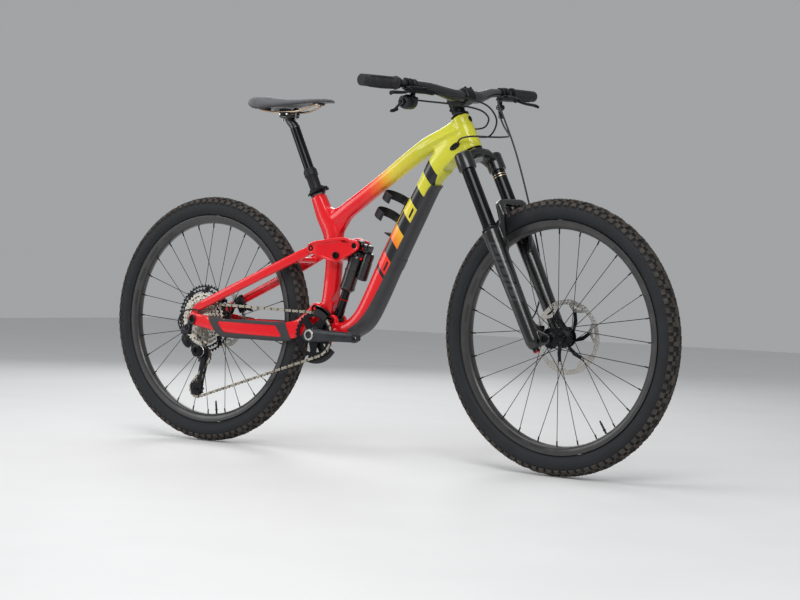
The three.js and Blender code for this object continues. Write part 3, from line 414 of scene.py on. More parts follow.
def melted(piece, voxel, rounds):
    """Melts a piece's shells into one body and eases its edges."""
    m = piece.modifiers.new("melt", "REMESH")
    m.mode = "VOXEL"
    m.voxel_size = voxel / 1000
    s = piece.modifiers.new("ease", "SMOOTH")
    s.factor = 0.5
    s.iterations = rounds
    applied(piece)


def carve(piece, cutters):
    tool = bpy.data.objects.new("cutter", cutters.mesh("cutter"))
    bpy.context.scene.collection.objects.link(tool)
    m = piece.modifiers.new("carve", "BOOLEAN")
    m.operation = "DIFFERENCE"
    m.solver = "EXACT"
    m.use_self = True
    m.object = tool
    applied(piece)
    bpy.data.objects.remove(tool)


def fused(voxel, rounds, cutters, again):
    """A shaper that melts a piece into one moulded body, carves it and melts it again."""
    def shape(piece):
        melted(piece, voxel, rounds)
        carve(piece, cutters)
        melted(piece, voxel, again)
    return shape


def carved(cutters):
    """A shaper that only carves the cutters from a piece."""
    return lambda piece: carve(piece, cutters)


# ---------------------------------------------------------------- materials
def srgb(r, g, b):
    """Colour values from 0 to 255 as the shader's linear ones."""
    return (*[(c / 255 / 12.92 if c < 11 else ((c / 255 + 0.055) / 1.055) ** 2.4)
              for c in (r, g, b)], 1.0)


class Value:
    """A number or colour that varies over a surface. A sum of these becomes math nodes."""

    def __init__(self, shader, socket):
        self.shader = shader
        self.socket = socket

    def __add__(self, other):
        return self.shader.math("ADD", self, other)

    def __sub__(self, other):
        return self.shader.math("SUBTRACT", self, other)

    def __mul__(self, other):
        return self.shader.math("MULTIPLY", self, other)

    def __truediv__(self, other):
        return self.shader.math("DIVIDE", self, other)

    def __lt__(self, other):
        return self.shader.math("LESS_THAN", self, other)

    def __gt__(self, other):
        return self.shader.math("GREATER_THAN", self, other)

    def __abs__(self):
        return self.shader.math("ABSOLUTE", self)

    def fract(self):
        return self.shader.math("FRACT", self)

    def within(self, low, high):
        return (self > low) * (self < high)


class Shader:
    """A node material on a principled shader, with short ways to add what drives it."""

    def __init__(self, name, color, rough=0.5, metal=0.0, coat=0.0, coat_rough=0.05, **extra):
        self.material = bpy.data.materials.new(name)
        self.material.use_nodes = True
        self.material.diffuse_color = color
        self.tree = self.material.node_tree
        self.shader = self.tree.nodes["Principled BSDF"]
        sockets = dict(Base_Color=color, Roughness=rough, Metallic=metal, Coat_Weight=coat,
                       Coat_Roughness=coat_rough, **extra)
        for socket, value in sockets.items():
            self.shader.inputs[socket.replace("_", " ")].default_value = value
        self.at = Value(self, self.new("ShaderNodeTexCoord").outputs["Object"])

    def new(self, kind, **settings):
        node = self.tree.nodes.new(kind)
        for key, value in settings.items():
            setattr(node, key, value)
        return node

    def feed(self, node, **values):
        """Sets a node's inputs, or links them where the value varies."""
        for name, value in values.items():
            self.plug(node, name.replace("_", " "), value)
        return node

    def plug(self, node, socket, value):
        if isinstance(value, Value):
            self.tree.links.new(value.socket, node.inputs[socket])
        elif value is not None:
            node.inputs[socket].default_value = value

    def made(self, node, values, output=0):
        for i, value in enumerate(values):
            self.plug(node, i, value)
        return Value(self, node.outputs[output])

    def math(self, operation, *values):
        return self.made(self.new("ShaderNodeMath", operation=operation), values)

    def noise(self, scale, detail=3.0, rough=0.5):
        node = self.feed(self.new("ShaderNodeTexNoise"), Vector=self.at, Scale=scale,
                         Detail=detail, Roughness=rough)
        return Value(self, node.outputs["Fac"])

    def rings(self, radius):
        """Noise that changes only with the distance from an axis."""
        node = self.feed(self.new("ShaderNodeTexNoise", noise_dimensions="1D"), W=radius,
                         Scale=4.0, Detail=4.0)
        return Value(self, node.outputs["Fac"])

    def cells(self, scale):
        node = self.feed(self.new("ShaderNodeTexVoronoi"), Vector=self.at, Scale=scale)
        return Value(self, node.outputs["Distance"])

    def spread(self, value, low, high, out_low=0.0, out_high=1.0):
        return self.made(self.new("ShaderNodeMapRange"), (value, low, high, out_low, out_high))

    def ramp(self, value, stops):
        node = self.new("ShaderNodeValToRGB")
        band = node.color_ramp
        while len(band.elements) < len(stops):
            band.elements.new(0.5)
        for element, (place, color) in zip(band.elements, stops):
            element.position = place
            element.color = color
        return self.made(node, (value,))

    def mix(self, share, a, b):
        node = self.new("ShaderNodeMix", data_type="RGBA")
        for socket, value in ((0, share), (6, a), (7, b)):
            self.plug(node, socket, value)
        return Value(self, node.outputs[2])

    def finish(self, color=None, rough=None, height=None, distance=0.0, strength=1.0):
        """Drives the shader's colour, roughness and bump, with the bump's depth in millimetres."""
        self.feed(self.shader, Base_Color=color, Roughness=rough)
        if height:
            node = self.feed(self.new("ShaderNodeBump"), Strength=strength,
                             Distance=distance / 1000, Height=height)
            self.feed(self.shader, Normal=Value(self, node.outputs[0]))
        return self.material

    def axes(self, mid=(0, 0)):
        """The object coordinates in millimetres: x and z from a point of the mid-plane, and y."""
        node = self.new("ShaderNodeSeparateXYZ")
        self.plug(node, 0, self.at)
        x, y, z = (Value(self, socket) for socket in node.outputs)
        return (
            self.math("MULTIPLY_ADD", x, 1000.0, ORIGIN_X - mid[0]), y * 1000.0,
            self.math("MULTIPLY_ADD", z, 1000.0, float(-mid[1])),
        )

    def radius(self, hub):
        x, y, z = self.axes(hub)
        return self.math("SQRT", x * x + z * z)


def plain(name, color, rough, metal=0.0, grain=900, spread=0.25, bump=0.05, coat=0.0, **extra):
    """A moulded or anodised surface: fine grain, soft blotches, roughness that wanders."""
    s = Shader(name, color, rough, metal, coat, **extra)
    blotch, fine = s.noise(22, 4), s.noise(grain, 2)
    dark, light = ((*(min(1, c * k) for c in color[:3]), 1) for k in (1 - spread, 1 + spread))
    return s.finish(
        s.mix(s.spread(blotch, 0.3, 0.7), dark, light),
        s.spread(blotch + fine, 0.6, 1.4, rough * 0.82, rough * 1.18), fine, bump,
    )


RED = srgb(224, 4, 22)
CORAL = srgb(238, 44, 28)
ORANGE = srgb(242, 112, 26)
AMBER = srgb(240, 172, 40)
YELLOW = srgb(228, 206, 62)
LIME = srgb(206, 204, 52)
INK = srgb(26, 27, 31)
FADE = (0.93, 0.36)  # the direction that the frame's colours change in, as x and z
FADE_START = 370.0
FADE_END = 620.0
BLOCKS_AT = (171.0, 445.0)  # a point of the down tube's middle line, and the way up it
BLOCKS_UP = (0.472, 0.8816)
BLOCKS_START = 60.0
BLOCKS_SPAN = (92.0, 440.0)  # where the graphics end, measured up the tube
BLOCK_PITCH = 86.0


def paint(name, graphics):
    """Gloss frame paint that fades from red to lime, with dark graphics where they are given."""
    s = Shader(name, RED, 0.34, coat=0.55, coat_rough=0.06, Specular_IOR_Level=0.25)
    x, y, z = s.axes()
    colors = s.ramp(s.spread(x * FADE[0] + z * FADE[1], FADE_START, FADE_END), [
        (0.04, RED), (0.2, CORAL), (0.36, ORANGE), (0.47, AMBER), (0.58, YELLOW), (1.0, LIME),
    ])
    flake = s.spread(s.noise(2600, 1), 0.62, 0.8, 0.0, 0.07)
    colors = s.mix(flake, colors, (1, 0.95, 0.85, 1))
    if graphics:
        colors = s.mix(graphics(s, x, y, z), colors, INK)
    return s.finish(colors, s.spread(s.noise(14, 3), 0.3, 0.7, 0.26, 0.36), s.noise(130, 2),
                    0.006, 0.5)


def down_tube_blocks(s, x, y, z):
    """Slanted dark blocks along both sides of the down tube, with a thin line behind them."""
    ux, uz = BLOCKS_UP
    u, v = x - BLOCKS_AT[0], z - BLOCKS_AT[1]
    across = u * uz - v * ux
    lean = u * ux + v * uz + across * 0.5
    phase = ((lean - BLOCKS_START) / BLOCK_PITCH).fract()
    odd = ((lean - BLOCKS_START) / (2 * BLOCK_PITCH)).fract() < 0.5
    inner = (abs(phase - 0.75) < 0.17) * (abs(across - 4.0) < 3.2) * odd
    marks = s.math("MAXIMUM", phase < 0.5, inner) * across.within(-25.0, 26.0)
    marks = s.math("MAXIMUM", marks, across.within(-30.0, -28.0))
    return marks * lean.within(*BLOCKS_SPAN) * (abs(y) > 15.0)


PAINT = paint("frame_paint", down_tube_blocks)
PAINT_REAR = paint("rear_paint", None)
SATIN = plain("satin_black", srgb(22, 22, 25), 0.45, 0.0, Specular_IOR_Level=0.3)
METAL = plain("black_anodised", srgb(24, 25, 28), 0.38, 0.6, 1400, Specular_IOR_Level=0.4)
GREY = plain("grey_anodised", srgb(56, 57, 60), 0.34, 0.85, 1400)
GUARD = plain("guard_skin", srgb(58, 58, 60), 0.5, 0.0, 700, 0.12, 0.12, Specular_IOR_Level=0.4)
RUBBER = plain("rubber", srgb(22, 22, 24), 0.72, 0.0, 700, 0.3, 0.15, Specular_IOR_Level=0.25)
HOSE = plain("hose_skin", srgb(20, 20, 22), 0.35, 0.0, 900, 0.2, 0.03)
STEEL = plain("bright_steel", srgb(196, 196, 192), 0.24, 1.0, 900, 0.08, 0.03)
BOLT = plain("bolt_black", srgb(22, 22, 24), 0.3, 0.9, 1600, 0.2, 0.02)
GOLD = plain("rail_bronze", srgb(190, 170, 148), 0.28, 1.0, 900, 0.1, 0.02)
RED_METAL = plain("red_anodised", srgb(200, 22, 30), 0.3, 0.9, 1400, 0.1, 0.02)
PROTECTOR = plain("stay_protector", srgb(60, 60, 62), 0.66, 0.0, 500, 0.1, 0.2, Specular_IOR_Level=0.3)
GLOSS = plain("gloss_black", srgb(12, 12, 14), 0.3, 0.0, 1200, 0.2, 0.01, coat=0.35)


def tread():
    """Tyre rubber with dusty brown knobs."""
    s = Shader("tread", srgb(38, 37, 37), 0.8, Specular_IOR_Level=0.25)
    dust = s.ramp(s.noise(40, 4, 0.6), [
        (0.3, srgb(44, 41, 40)), (0.5, srgb(66, 61, 57)), (0.75, srgb(84, 78, 72)),
    ])
    return s.finish(dust, None, s.noise(600, 3), 0.25)


def sidewall(name, hub):
    """The tyre's bare wall: dark rubber, finely ribbed round the wheel."""
    s = Shader(name, srgb(34, 34, 36), 0.62, Specular_IOR_Level=0.3)
    ribs = s.math("SINE", s.radius(hub) * 3.4)
    blotch = s.noise(16, 4)
    return s.finish(
        s.mix(s.spread(blotch, 0.35, 0.7), srgb(26, 28, 31), srgb(36, 38, 42)),
        s.spread(blotch, 0.3, 0.7, 0.52, 0.7), ribs * 0.25 + s.noise(420, 3), 0.25,
    )


def rim_skin(name, hub):
    """Satin dark carbon, with a band of plain darker blocks round each side."""
    s = Shader(name, srgb(44, 45, 48), 0.36, coat=0.3, coat_rough=0.2)
    x, y, z = s.axes(hub)
    turn = s.math("ARCTAN2", z, x) / TAU
    band = abs(s.radius(hub) - 302.0) < 4.2
    marks = band * ((turn * 24.0).fract() < 0.62) * ((turn * 3.0).fract() < 0.5)
    cloud = s.mix(s.spread(s.noise(30, 3), 0.3, 0.7), srgb(38, 37, 37), srgb(48, 47, 46))
    return s.finish(s.mix(marks, cloud, srgb(22, 22, 24)), None, s.noise(1500, 2), 0.02)


def brushed(name, color, hub, rough=0.26):
    """Metal ground in circles about a hub."""
    s = Shader(name, color, rough, 1.0)
    grain = s.rings(s.radius(hub))
    dark = (*(c * 0.82 for c in color[:3]), 1)
    return s.finish(s.mix(grain, dark, color),
                    s.spread(grain, 0.3, 0.7, rough * 0.7, rough * 1.5), grain, 0.02)


def cloth(name, color, light):
    """The saddle's cover: a fine pebbled synthetic leather."""
    s = Shader(name, color, 0.55, Sheen_Weight=0.25, Sheen_Roughness=0.5)
    pebble, blotch = s.cells(900), s.noise(24, 4)
    return s.finish(s.mix(s.spread(blotch, 0.3, 0.7), color, light),
                    s.spread(blotch, 0.3, 0.7, 0.48, 0.64), pebble + s.noise(260, 2) * 0.6, 0.12)


def leg_skin():
    """Gloss black fork paint with plain tonal outlines of blocks down each leg's outer side."""
    s = Shader("fork_skin", srgb(13, 13, 15), 0.3, coat=0.35, coat_rough=0.15)
    x, y, z = s.axes((STEER_BASE.x, STEER_BASE.z))
    out = x * STEER_OUT.x + z * STEER_OUT.z
    lean = x * STEER_UP.x + z * STEER_UP.z + out * 0.55
    pitch = 62.0
    shape = s.math("MAXIMUM", abs((lean / pitch).fract() - 0.45) * pitch,
                   abs(out - float(LEG[0])) * 1.8)
    outlines = (shape < 27.0) * (abs(shape - 13.0) > 4.0)
    marks = outlines * lean.within(128.0, 300.0) * (abs(y) > 74.0)
    return s.finish(s.mix(marks, srgb(13, 13, 15), srgb(46, 48, 50)),
                    s.spread(s.noise(30, 3), 0.3, 0.7, 0.18, 0.28), s.noise(160, 2), 0.02, 0.4)


def ribbed(name, color, pitch):
    """Grip rubber: ribs round the bar and a fine grain."""
    s = Shader(name, color, 0.75)
    x, y, z = s.axes()
    ribs = s.math("SINE", y * (TAU / pitch))
    return s.finish(s.mix(s.spread(s.noise(200, 3), 0.3, 0.7), color, srgb(44, 44, 46)), None,
                    ribs + s.noise(700, 2) * 0.5, 0.3)


TREAD = tread()
FRONT_HUB = (steered(FORK_OFFSET, 0, 0).x, steered(FORK_OFFSET, 0, 0).z)
HUBS = {"rear": REAR_AXLE, "front": FRONT_HUB}
SIDEWALL = {end: sidewall(end + "_sidewall", hub) for end, hub in HUBS.items()}
RIM_SKIN = {end: rim_skin(end + "_rim_skin", hub) for end, hub in HUBS.items()}
ROTOR_STEEL = {end: brushed(end + "_rotor_steel", srgb(184, 180, 174), hub, 0.34)
               for end, hub in HUBS.items()}
COG_STEEL = brushed("sprocket_steel", srgb(206, 200, 190), REAR_AXLE, 0.3)
COG_BLACK = brushed("sprocket_black", srgb(44, 44, 46), REAR_AXLE, 0.32)
RING_BLACK = brushed("ring_black", srgb(40, 40, 43), BB, 0.32)
CHAIN_STEEL = plain("chain_steel", srgb(170, 164, 150), 0.36, 1.0, 500, 0.22, 0.03)
CHAIN_DARK = plain("chain_inner", srgb(84, 80, 74), 0.42, 1.0, 500, 0.22, 0.03)
COVER = cloth("saddle_cover", srgb(52, 52, 56), srgb(70, 70, 75))
FORK_SKIN = leg_skin()
GRIP = ribbed("grip_rubber", srgb(28, 28, 30), 4.0)

# ---------------------------------------------------------------- main frame
DOWN_TUBE = [
    (492, 918, 0, 30, 24), (440, 885, 0, 40, 30), (388, 838, 0, 36, 31), (347, 778, 0, 27, 31),
    (263, 628, 0, 33, 31), (171, 445, 0, 32, 32), (140, 396, 0, 31, 33), (96, 366, 0, 27, 33),
    (0, 345, 0, 26, 33),
]
TOP_TUBE = [
    (2, 668, 0, 18, 18), (50, 696, 0, 24, 19), (189, 789, 0, 22, 21), (340, 890, 0, 25, 24),
    (405, 917, 0, 28, 26), (470, 944, 0, 38, 22),
]
SEAT_TUBE = [
    (-39, 751, 0, 21.5, 21.5), (-12, 695, 0, 27, 22), (20, 640, 0, 31, 23), (27, 575, 0, 25, 24),
    (23, 500, 0, 24, 24), (16, 430, 0, 24, 27), (2, 350, 0, 26, 30),
]
SHOCK_UP = (Vector((SHOCK_TOP[0], 0, SHOCK_TOP[1])) - Vector((SHOCK_LOW[0], 0, SHOCK_LOW[1])))
SHOCK_UP.normalize()


def shock_point(t, out=0, y=0):
    return (
        SHOCK_LOW[0] + SHOCK_UP.x * t + SHOCK_UP.z * out, y,
        SHOCK_LOW[1] + SHOCK_UP.z * t - SHOCK_UP.x * out,
    )


STANCHION = plain("stanchion_black", srgb(20, 21, 24), 0.2, 0.6, 2000, 0.1, 0.004)


def frame_cutters():
    tools = Form()
    tools.add(rod(head_point(0, 0, HEAD_TOP - 6), head_point(0, 0, HEAD_TOP + 8), 22, edge=0.1))
    tools.add(rod(head_point(0, 0, HEAD_TOP), head_point(0, 0, HEAD_TOP + 60), 70, edge=0.1))
    tools.add(spindle(head_point(0, 0, 0), STEER_UP, [
        (400, 100), (570, 100), (573, 88), (577, 72), (HEAD_LOW - 0.5, 60)], 64))
    tools.add(pin(BB, -60, 60, 19.4))
    tools.add(pin(SHOCK_LOW, -15.5, 15.5, 20))
    tools.add(tube([
        (*shock_point(0)[::2], 0, 20, 15.5), (*shock_point(95)[::2], 0, 22, 15.5),
    ], 12, 0.4, 1))
    tools.add(tube([
        (*shock_point(48)[::2], 0, 29, 29), (*shock_point(150)[::2], 0, 27, 29),
    ], 12, 0.5, 1))
    return tools


def main_frame():
    body = Form()
    body.add(tube(DOWN_TUBE, square=0.72)).add(tube(TOP_TUBE, square=0.72))
    body.add(tube(SEAT_TUBE, square=0.8))
    body.add(rod(head_point(0, 0, HEAD_LOW), head_point(0, 0, HEAD_TOP), 28, 26, 40, 2))
    body.add(pin(BB, -36.5, 36.5, 27, 40, 1.5))
    for at, r in ((MAIN_PIVOT, 16), (ROCKER_PIVOT, 16), (SHOCK_LOW, 17)):
        body.add(pin(at, -29, 29, r, 32, 1.5))
    body.add(tube([(34, 568, 0, 18, 22), (62, 578, 0, 15, 26)], per=1))
    body.add(tube([(16, 400, 0, 16, 26), (-6, 420, 0, 15, 26)], per=1))
    # the webs that sweep the top tube into the seat tube, and the two big tubes into each other
    body.add(slab([[(18, 590), (40, 600), (54, 648), (78, 684), (112, 712), (40, 700)]], -14, 14, 3))
    body.add(slab([[(-22, 742), (-12, 740), (0, 722), (22, 713), (60, 724), (80, 742), (60, 690),
                    (0, 690)]], -13, 13, 3))
    # the crease that runs along the head of the frame, under the top tube
    for s in (-1, 1):
        body.add(sweep([(300, s * 18, 864), (350, s * 21, 891), (405, s * 23, 916),
                        (462, s * 22, 936)], [3, 6, 7, 5], 16))
    body.add(slab([[(376, 884), (420, 912), (476, 930), (490, 898), (452, 862), (408, 830),
                    (384, 848)]], -27, 27, 5))
    return body.make("main_frame", "frame", PAINT, "frame_paint", 40,
                     fused(2.4, 9, frame_cutters(), 4))


main_frame()


def arc_shell(stations, grow, inset, per=8):
    """A shell over the front of a tube; each station ends with its reach in degrees each way."""
    line = through(stations, per)
    rings = []
    for i, (x, z, y, h, w, reach) in enumerate(line):
        a, b = line[max(i - 1, 0)], line[min(i + 1, len(line) - 1)]
        t = Vector((b[0] - a[0], b[1] - a[1])).normalized()
        ring = []
        for layer, order in ((grow, 1), (inset, -1)):
            for k in range(-14, 15):
                turn = rad(reach) * k / 14 * order
                c = power(math.cos(turn), 0.72) * (h + layer)
                ring.append((x - t.y * c, (w + layer * 0.8) * power(math.sin(turn), 0.72),
                             z + t.x * c))
        rings.append(ring)
    return loft(rings)


def guard():
    """The moulded guard under the down tube: upper and lower halves, a step and its screws."""
    form = Form()
    upper = [(360, 797, 0, 28.5, 31, 48), (347, 778, 0, 27.6, 31, 52), (305, 703, 0, 30.5, 31, 60),
             (263, 628, 0, 33, 31, 64), (226, 556, 0, 32.8, 31.4, 66)]
    lower = [(226, 556, 0, 32.8, 31.4, 66), (171, 445, 0, 32, 32, 76), (140, 396, 0, 31, 33, 84),
             (104, 369, 0, 27.6, 33, 86)]
    form.add(arc_shell(upper, 4.4, 0.6)).add(arc_shell(lower, 4.0, 0.6))
    form.add(arc_shell([(241, 585, 0, 32.9, 31.2, 60), (228, 559, 0, 32.8, 31.3, 65)], 5.4, 3, 2))
    for x, z in ((362, 772), (266, 568)):
        out = Vector((0.8617, 0, -0.5075))
        form.add(bolt(Vector((x, 0, z)) + out * 4.2 + LEFT * -14, out - LEFT * 0.45, 4.2, 1.6), 1)
    form.make("down_tube_guard", "frame", [GUARD, BOLT], "guard", 40)


guard()


def grommet(at, along, out, length=17, width=8):
    """A rubber port cover where hoses enter the frame."""
    u, n = Vector(along).normalized(), Vector(out).normalized()
    w = n.cross(u)
    rings = []
    for t, size in ((-2, 1), (1.6, 1), (2.6, 0.82), (2.6, 0.5), (0.6, 0.42)):
        rings.append([
            Vector(at) + n * t + u * length * size * math.cos(a) + w * width * size * math.sin(a)
            for a in (k * TAU / 24 for k in range(24))
        ])
    return loft(rings)


def frame_fittings():
    form = Form()
    form.add(grommet((452, -30, 889), (0.85, 0, 0.52), (0, -1, 0.1)), 0)
    form.add(grommet((452, 30, 889), (0.85, 0, 0.52), (0, 1, 0.1)), 0)
    out = head_point(1, 0, 0) - head_point(0, 0, 0)
    form.add(grommet(head_point(27, 0, 668), STEER_UP, out, 9, 6), 0)
    form.add(side_bolt(SHOCK_LOW, -28.5, 8.5, 3), 1)
    form.add(side_bolt(SHOCK_LOW, 28.5, 8.5, 3), 1)
    form.add(spindle(head_point(0, 0, HEAD_LOW - 0.4), STEER_UP, [(0, 26), (1, 27.6), (2.2, 27.6),
                                                                  (3, 26)], 40), 1)
    for x, z in ((232, 622), (290, 741)):
        form.add(bolt((x - 0.5, 0, z), (-0.8617, 0, 0.5075), 5, 3), 1)
    form.make("frame_fittings", "frame", [RUBBER, BOLT], "pivot_steel", node=False)


frame_fittings()


def bottle_cage():
    """A moulded side-entry cage: a spine on the down tube, two wrapping arms and a toe."""
    u, n = Vector((0.465, 0, 0.885)), Vector((-0.885, 0, 0.465))
    place = lambda x, y, z: Vector((261, 0, 690)) + u * x + LEFT * y + n * z
    form = Form(place)
    form.add(block((-62, 62), (-9, 9), (1, 5), 1.4))
    form.add(block((-62, -58), (-17, 17), (1, 22), 1.4))
    for x0, x1, tilt in ((-34, -8, 8), (26, 52, -8)):
        rings = []
        for k in range(41):
            a = rad(-100 + 290 * k / 40)
            lean = tilt * math.sin(a * 0.5 + 0.8)
            ring = []
            for dx, r in ((x0, 37.6), (x0 + 1.5, 39.8), (x1 - 1.5, 39.8), (x1, 37.6)):
                ring.append((dx + lean * 0.4, r * math.cos(a), 42 + r * math.sin(a)))
            rings.append(ring)
        form.add(loft(rings))
    form.add(bolt((-28, 0, 5), UP, 5, 2), 1, place)
    form.add(bolt((20, 0, 5), UP, 5, 2), 1, place)
    form.make("bottle_cage", "frame", [SATIN, BOLT], "guard")


bottle_cage()

# ---------------------------------------------------------------- rear triangle
CHAINSTAY = [
    (-445, 374, 83, 19, 3.4), (-410, 370, 82.6, 19, 3.4), (-385, 365, 80, 19, 5),
    (-330, 358, 77, 21, 8), (-227, 352, 69, 25, 9), (-150, 350, 59, 26, 8),
    (-105, 352, 46.5, 26, 5.5), (-66, 364, 39.5, 25, 5.5), (-36, 390, 38, 21, 6),
    (-4, 424, 38, 18, 7),
]
SEATSTAY = [
    (-437, 370, 76.9, 13, 2.3), (-440, 388, 76.9, 14, 2.3), (-434, 404, 73.4, 13, 5.6),
    (-395, 424, 74.5, 13, 8), (-195, 514, 64, 14, 8), (-75, 570, 50, 14, 8),
    (-30, 591, 45.2, 13, 4.6), (-16, 597, 45.2, 13, 4.6),
]


def mirrored(stations, s):
    return [(x, z, s * y, h, w) for x, z, y, h, w in stations]


def chainstay():
    form = Form()
    for s in (1, -1):
        form.add(tube(mirrored(CHAINSTAY, s), square=0.55))
        form.add(pin(MAIN_PIVOT, s * 30, s * 45, 17, 32, 1.5))
        form.add(pin(REAR_AXLE, s * 79.8, s * 86.2, 20, 32, 1))
    form.add(pin((-36, 400), -38, 38, 8))
    tools = Form()
    tools.add(pin(MAIN_PIVOT, -29.6, 29.6, 18.5, 32, 0.1))
    tools.add(pin(REAR_AXLE, -100, 100, 6.6, 24, 0.1))
    form.make("chainstay", "swingarm", PAINT_REAR, "frame_paint", 40, fused(1.7, 5, tools, 2))


chainstay()


def seatstay():
    form = Form()
    for s in (1, -1):
        form.add(tube(mirrored(SEATSTAY, s), square=0.55))
        form.add(pin(REAR_AXLE, s * 74.5, s * 79.2, 15, 32, 0.8))
        form.add(pin(STAY_PIVOT, s * 40.6, s * 49.8, 14, 32, 1))
    form.add(pin((-83, 562), -50, 50, 8))
    form.add(sweep([(-110, 52, 554), (-92, 30, 560), (-86, 0, 562), (-92, -30, 560),
                    (-110, -52, 554)], [7, 8, 9, 8, 7], 16))
    tools = Form().add(pin(REAR_AXLE, -100, 100, 6.6, 24, 0.1))
    form.make("seatstay", "seatstay", PAINT_REAR, "frame_paint", 40, fused(1.7, 5, tools, 2))


seatstay()


def stay_protectors():
    """The soft guard on the right chainstay, open over a panel of paint, and its left twin."""
    for s, name in ((-1, "right"), (1, "left")):
        shell = through(mirrored([
            (-380, 365, 79.6, 17.5, 6), (-346, 359, 77.6, 21, 8), (-319, 351, 76, 26, 8.4),
            (-227, 350.5, 69, 27, 9), (-150, 349, 59, 27, 8), (-108, 351, 47, 28, 5.6),
            (-84, 357, 42, 27, 5.6)], s), 8)
        form = Form()
        rows = []
        for layer in (1.5, -1.0):
            rows.append([])
            for i, (x, z, y, h, w) in enumerate(shell):
                a, b = shell[max(i - 1, 0)], shell[min(i + 1, len(shell) - 1)]
                t = Vector((b[0] - a[0], b[1] - a[1])).normalized()
                ring = []
                for k in range(-12, 13):
                    turn = rad(104) * k / 12
                    c = power(math.sin(turn), 0.55) * (h + layer)
                    ring.append((x - t.y * c, y + s * (w + layer) * power(math.cos(turn), 0.55),
                                 z + t.x * c))
                rows[-1].append(ring)
        form.add(loft([outer + inner[::-1] for outer, inner in zip(*rows)]))
        panel = Form()
        panel.add(slab([wrapped([((-333, 366), 5), ((-139, 362), 5), ((-124, 338), 5),
                                 ((-314, 343), 5)], 40)], s * 30, s * 120, 0.1))
        ends = Form()
        ends.verts, ends.faces, ends.mats = panel.verts[:], panel.faces[:], panel.mats[:]
        ends.add(slab([[(-420, 410), (-388, 410), (-372, 372), (-338, 322), (-420, 300)]],
                      s * 30, s * 130, 0.1))
        ends.add(slab([[(-60, 410), (-118, 410), (-112, 385), (-90, 330), (-86, 300), (-60, 300)]],
                      s * 25, s * 130, 0.1))
        form.make("stay_protector_" + name, "swingarm", PROTECTOR, "guard", 30, carved(ends),
                  node=False)


stay_protectors()


def rear_hardware():
    form = Form()
    for s in (1, -1):
        form.add(side_bolt(MAIN_PIVOT, s * 45, 11, 2.2))
    form.make("main_pivot_bolts", "swingarm", BOLT, "pivot_steel", node=False)
    form = Form()
    form.add(pin(REAR_AXLE, -90, 90, 6))
    form.add(side_bolt(REAR_AXLE, -87, 10, 5))
    form.add(side_bolt(REAR_AXLE, 87, 10, 5))
    form.make("rear_axle", "swingarm", BOLT, "pivot_steel")
    form = Form()
    for s in (1, -1):
        form.add(side_bolt(STAY_PIVOT, s * 60, 8.5, 1.6))
        form.add(side_bolt(ROCKER_PIVOT, s * 44.5, 10, 4.2))
        form.add(side_bolt(SHOCK_TOP, s * 32.4, 8, 1.8))
    form.make("rocker_bolts", "rocker", BOLT, "pivot_steel", node=False)


rear_hardware()


def rocker():
    """The rocker: two plates that follow the frame's width, joined by a cross bar."""
    form = Form()
    side = wrapped([(STAY_PIVOT, 16), (ROCKER_PIVOT, 18), (SHOCK_TOP, 16), ((24, 604), 15),
                    ((88, 614), 15)], 48)
    inner = [(-40, 50.3), (2, 50.3), (16, 46), (40, 34), (64, 30), (84, 28.6), (102, 24.4),
             (140, 24.4)]
    outer = [(-40, 60), (6, 60), (36, 50), (64, 43.5), (90, 38), (108, 33), (140, 33)]

    def at(line, x):
        for (x0, y0), (x1, y1) in zip(line, line[1:]):
            if x <= x1:
                return y0 + (y1 - y0) * (x - x0) / (x1 - x0)
        return line[-1][1]

    tools = Form()
    for s in (1, -1):
        # slices along x, so that the plate bends smoothly round the frame
        rings = []
        for i in range(61):
            x = -31.5 + (134.5 + 31.5) * i / 60
            cuts = []
            for (ax, az), (bx, bz) in zip(side, side[1:] + side[:1]):
                if (ax - x) * (bx - x) <= 0 and abs(ax - bx) > 1e-9:
                    cuts.append(az + (bz - az) * (x - ax) / (bx - ax))
            if len(cuts) < 2:
                continue
            low, high = min(cuts), max(cuts)
            y0, y1 = at(inner, x), at(outer, x)
            rings.append([(x, s * y, z) for y, z in (
                (y0, low), (y1 - 2, low), (y1, low + 2.5), (y1, high - 2.5), (y1 - 2, high),
                (y0, high))])
        form.add(loft(rings))
        for spot, r, depth in ((STAY_PIVOT, 11.5, 60), (ROCKER_PIVOT, 12.5, 44),
                               (SHOCK_TOP, 10.5, 32.4)):
            tools.add(pin(spot, s * depth, s * (depth + 20), r, 32, 0.1))
        tools.add(slab([wrapped([((82, 618), 3.4), ((96, 618), 3.4)], 20)], s * 20, s * 70, 0.1))
        rail = [(-24, 606), (-4, 613), (24, 617), (60, 623.4), (88, 626.4), (104, 621), (120, 616)]
        form.add(sweep([(x, s * (at(outer, x) + 0.4), z) for x, z in rail],
                       [2, 4.4, 5.4, 5.6, 5.2, 4.2, 2], 14, 5))
        rail = [(-14, 585), (20, 573), (50, 563), (70, 563), (96, 580)]
        form.add(sweep([(x, s * (at(outer, x) - 0.4), z) for x, z in rail],
                       [2, 2.6, 3, 3, 2], 14, 5))
    form.add(pin((74, 617), -34, 34, 7))
    tools.add(pin(ROCKER_PIVOT, -29.5, 29.5, 17.5, 32, 0.1))
    form.make("rocker_link", "rocker", PAINT_REAR, "frame_paint", 40, fused(1.2, 5, tools, 2))
    shafts = Form().add(pin(ROCKER_PIVOT, -44, 44, 7)).add(pin(SHOCK_TOP, -33, 33, 5))
    shafts.make("rocker_axles", "rocker", BOLT, "pivot_steel", node=False)


rocker()


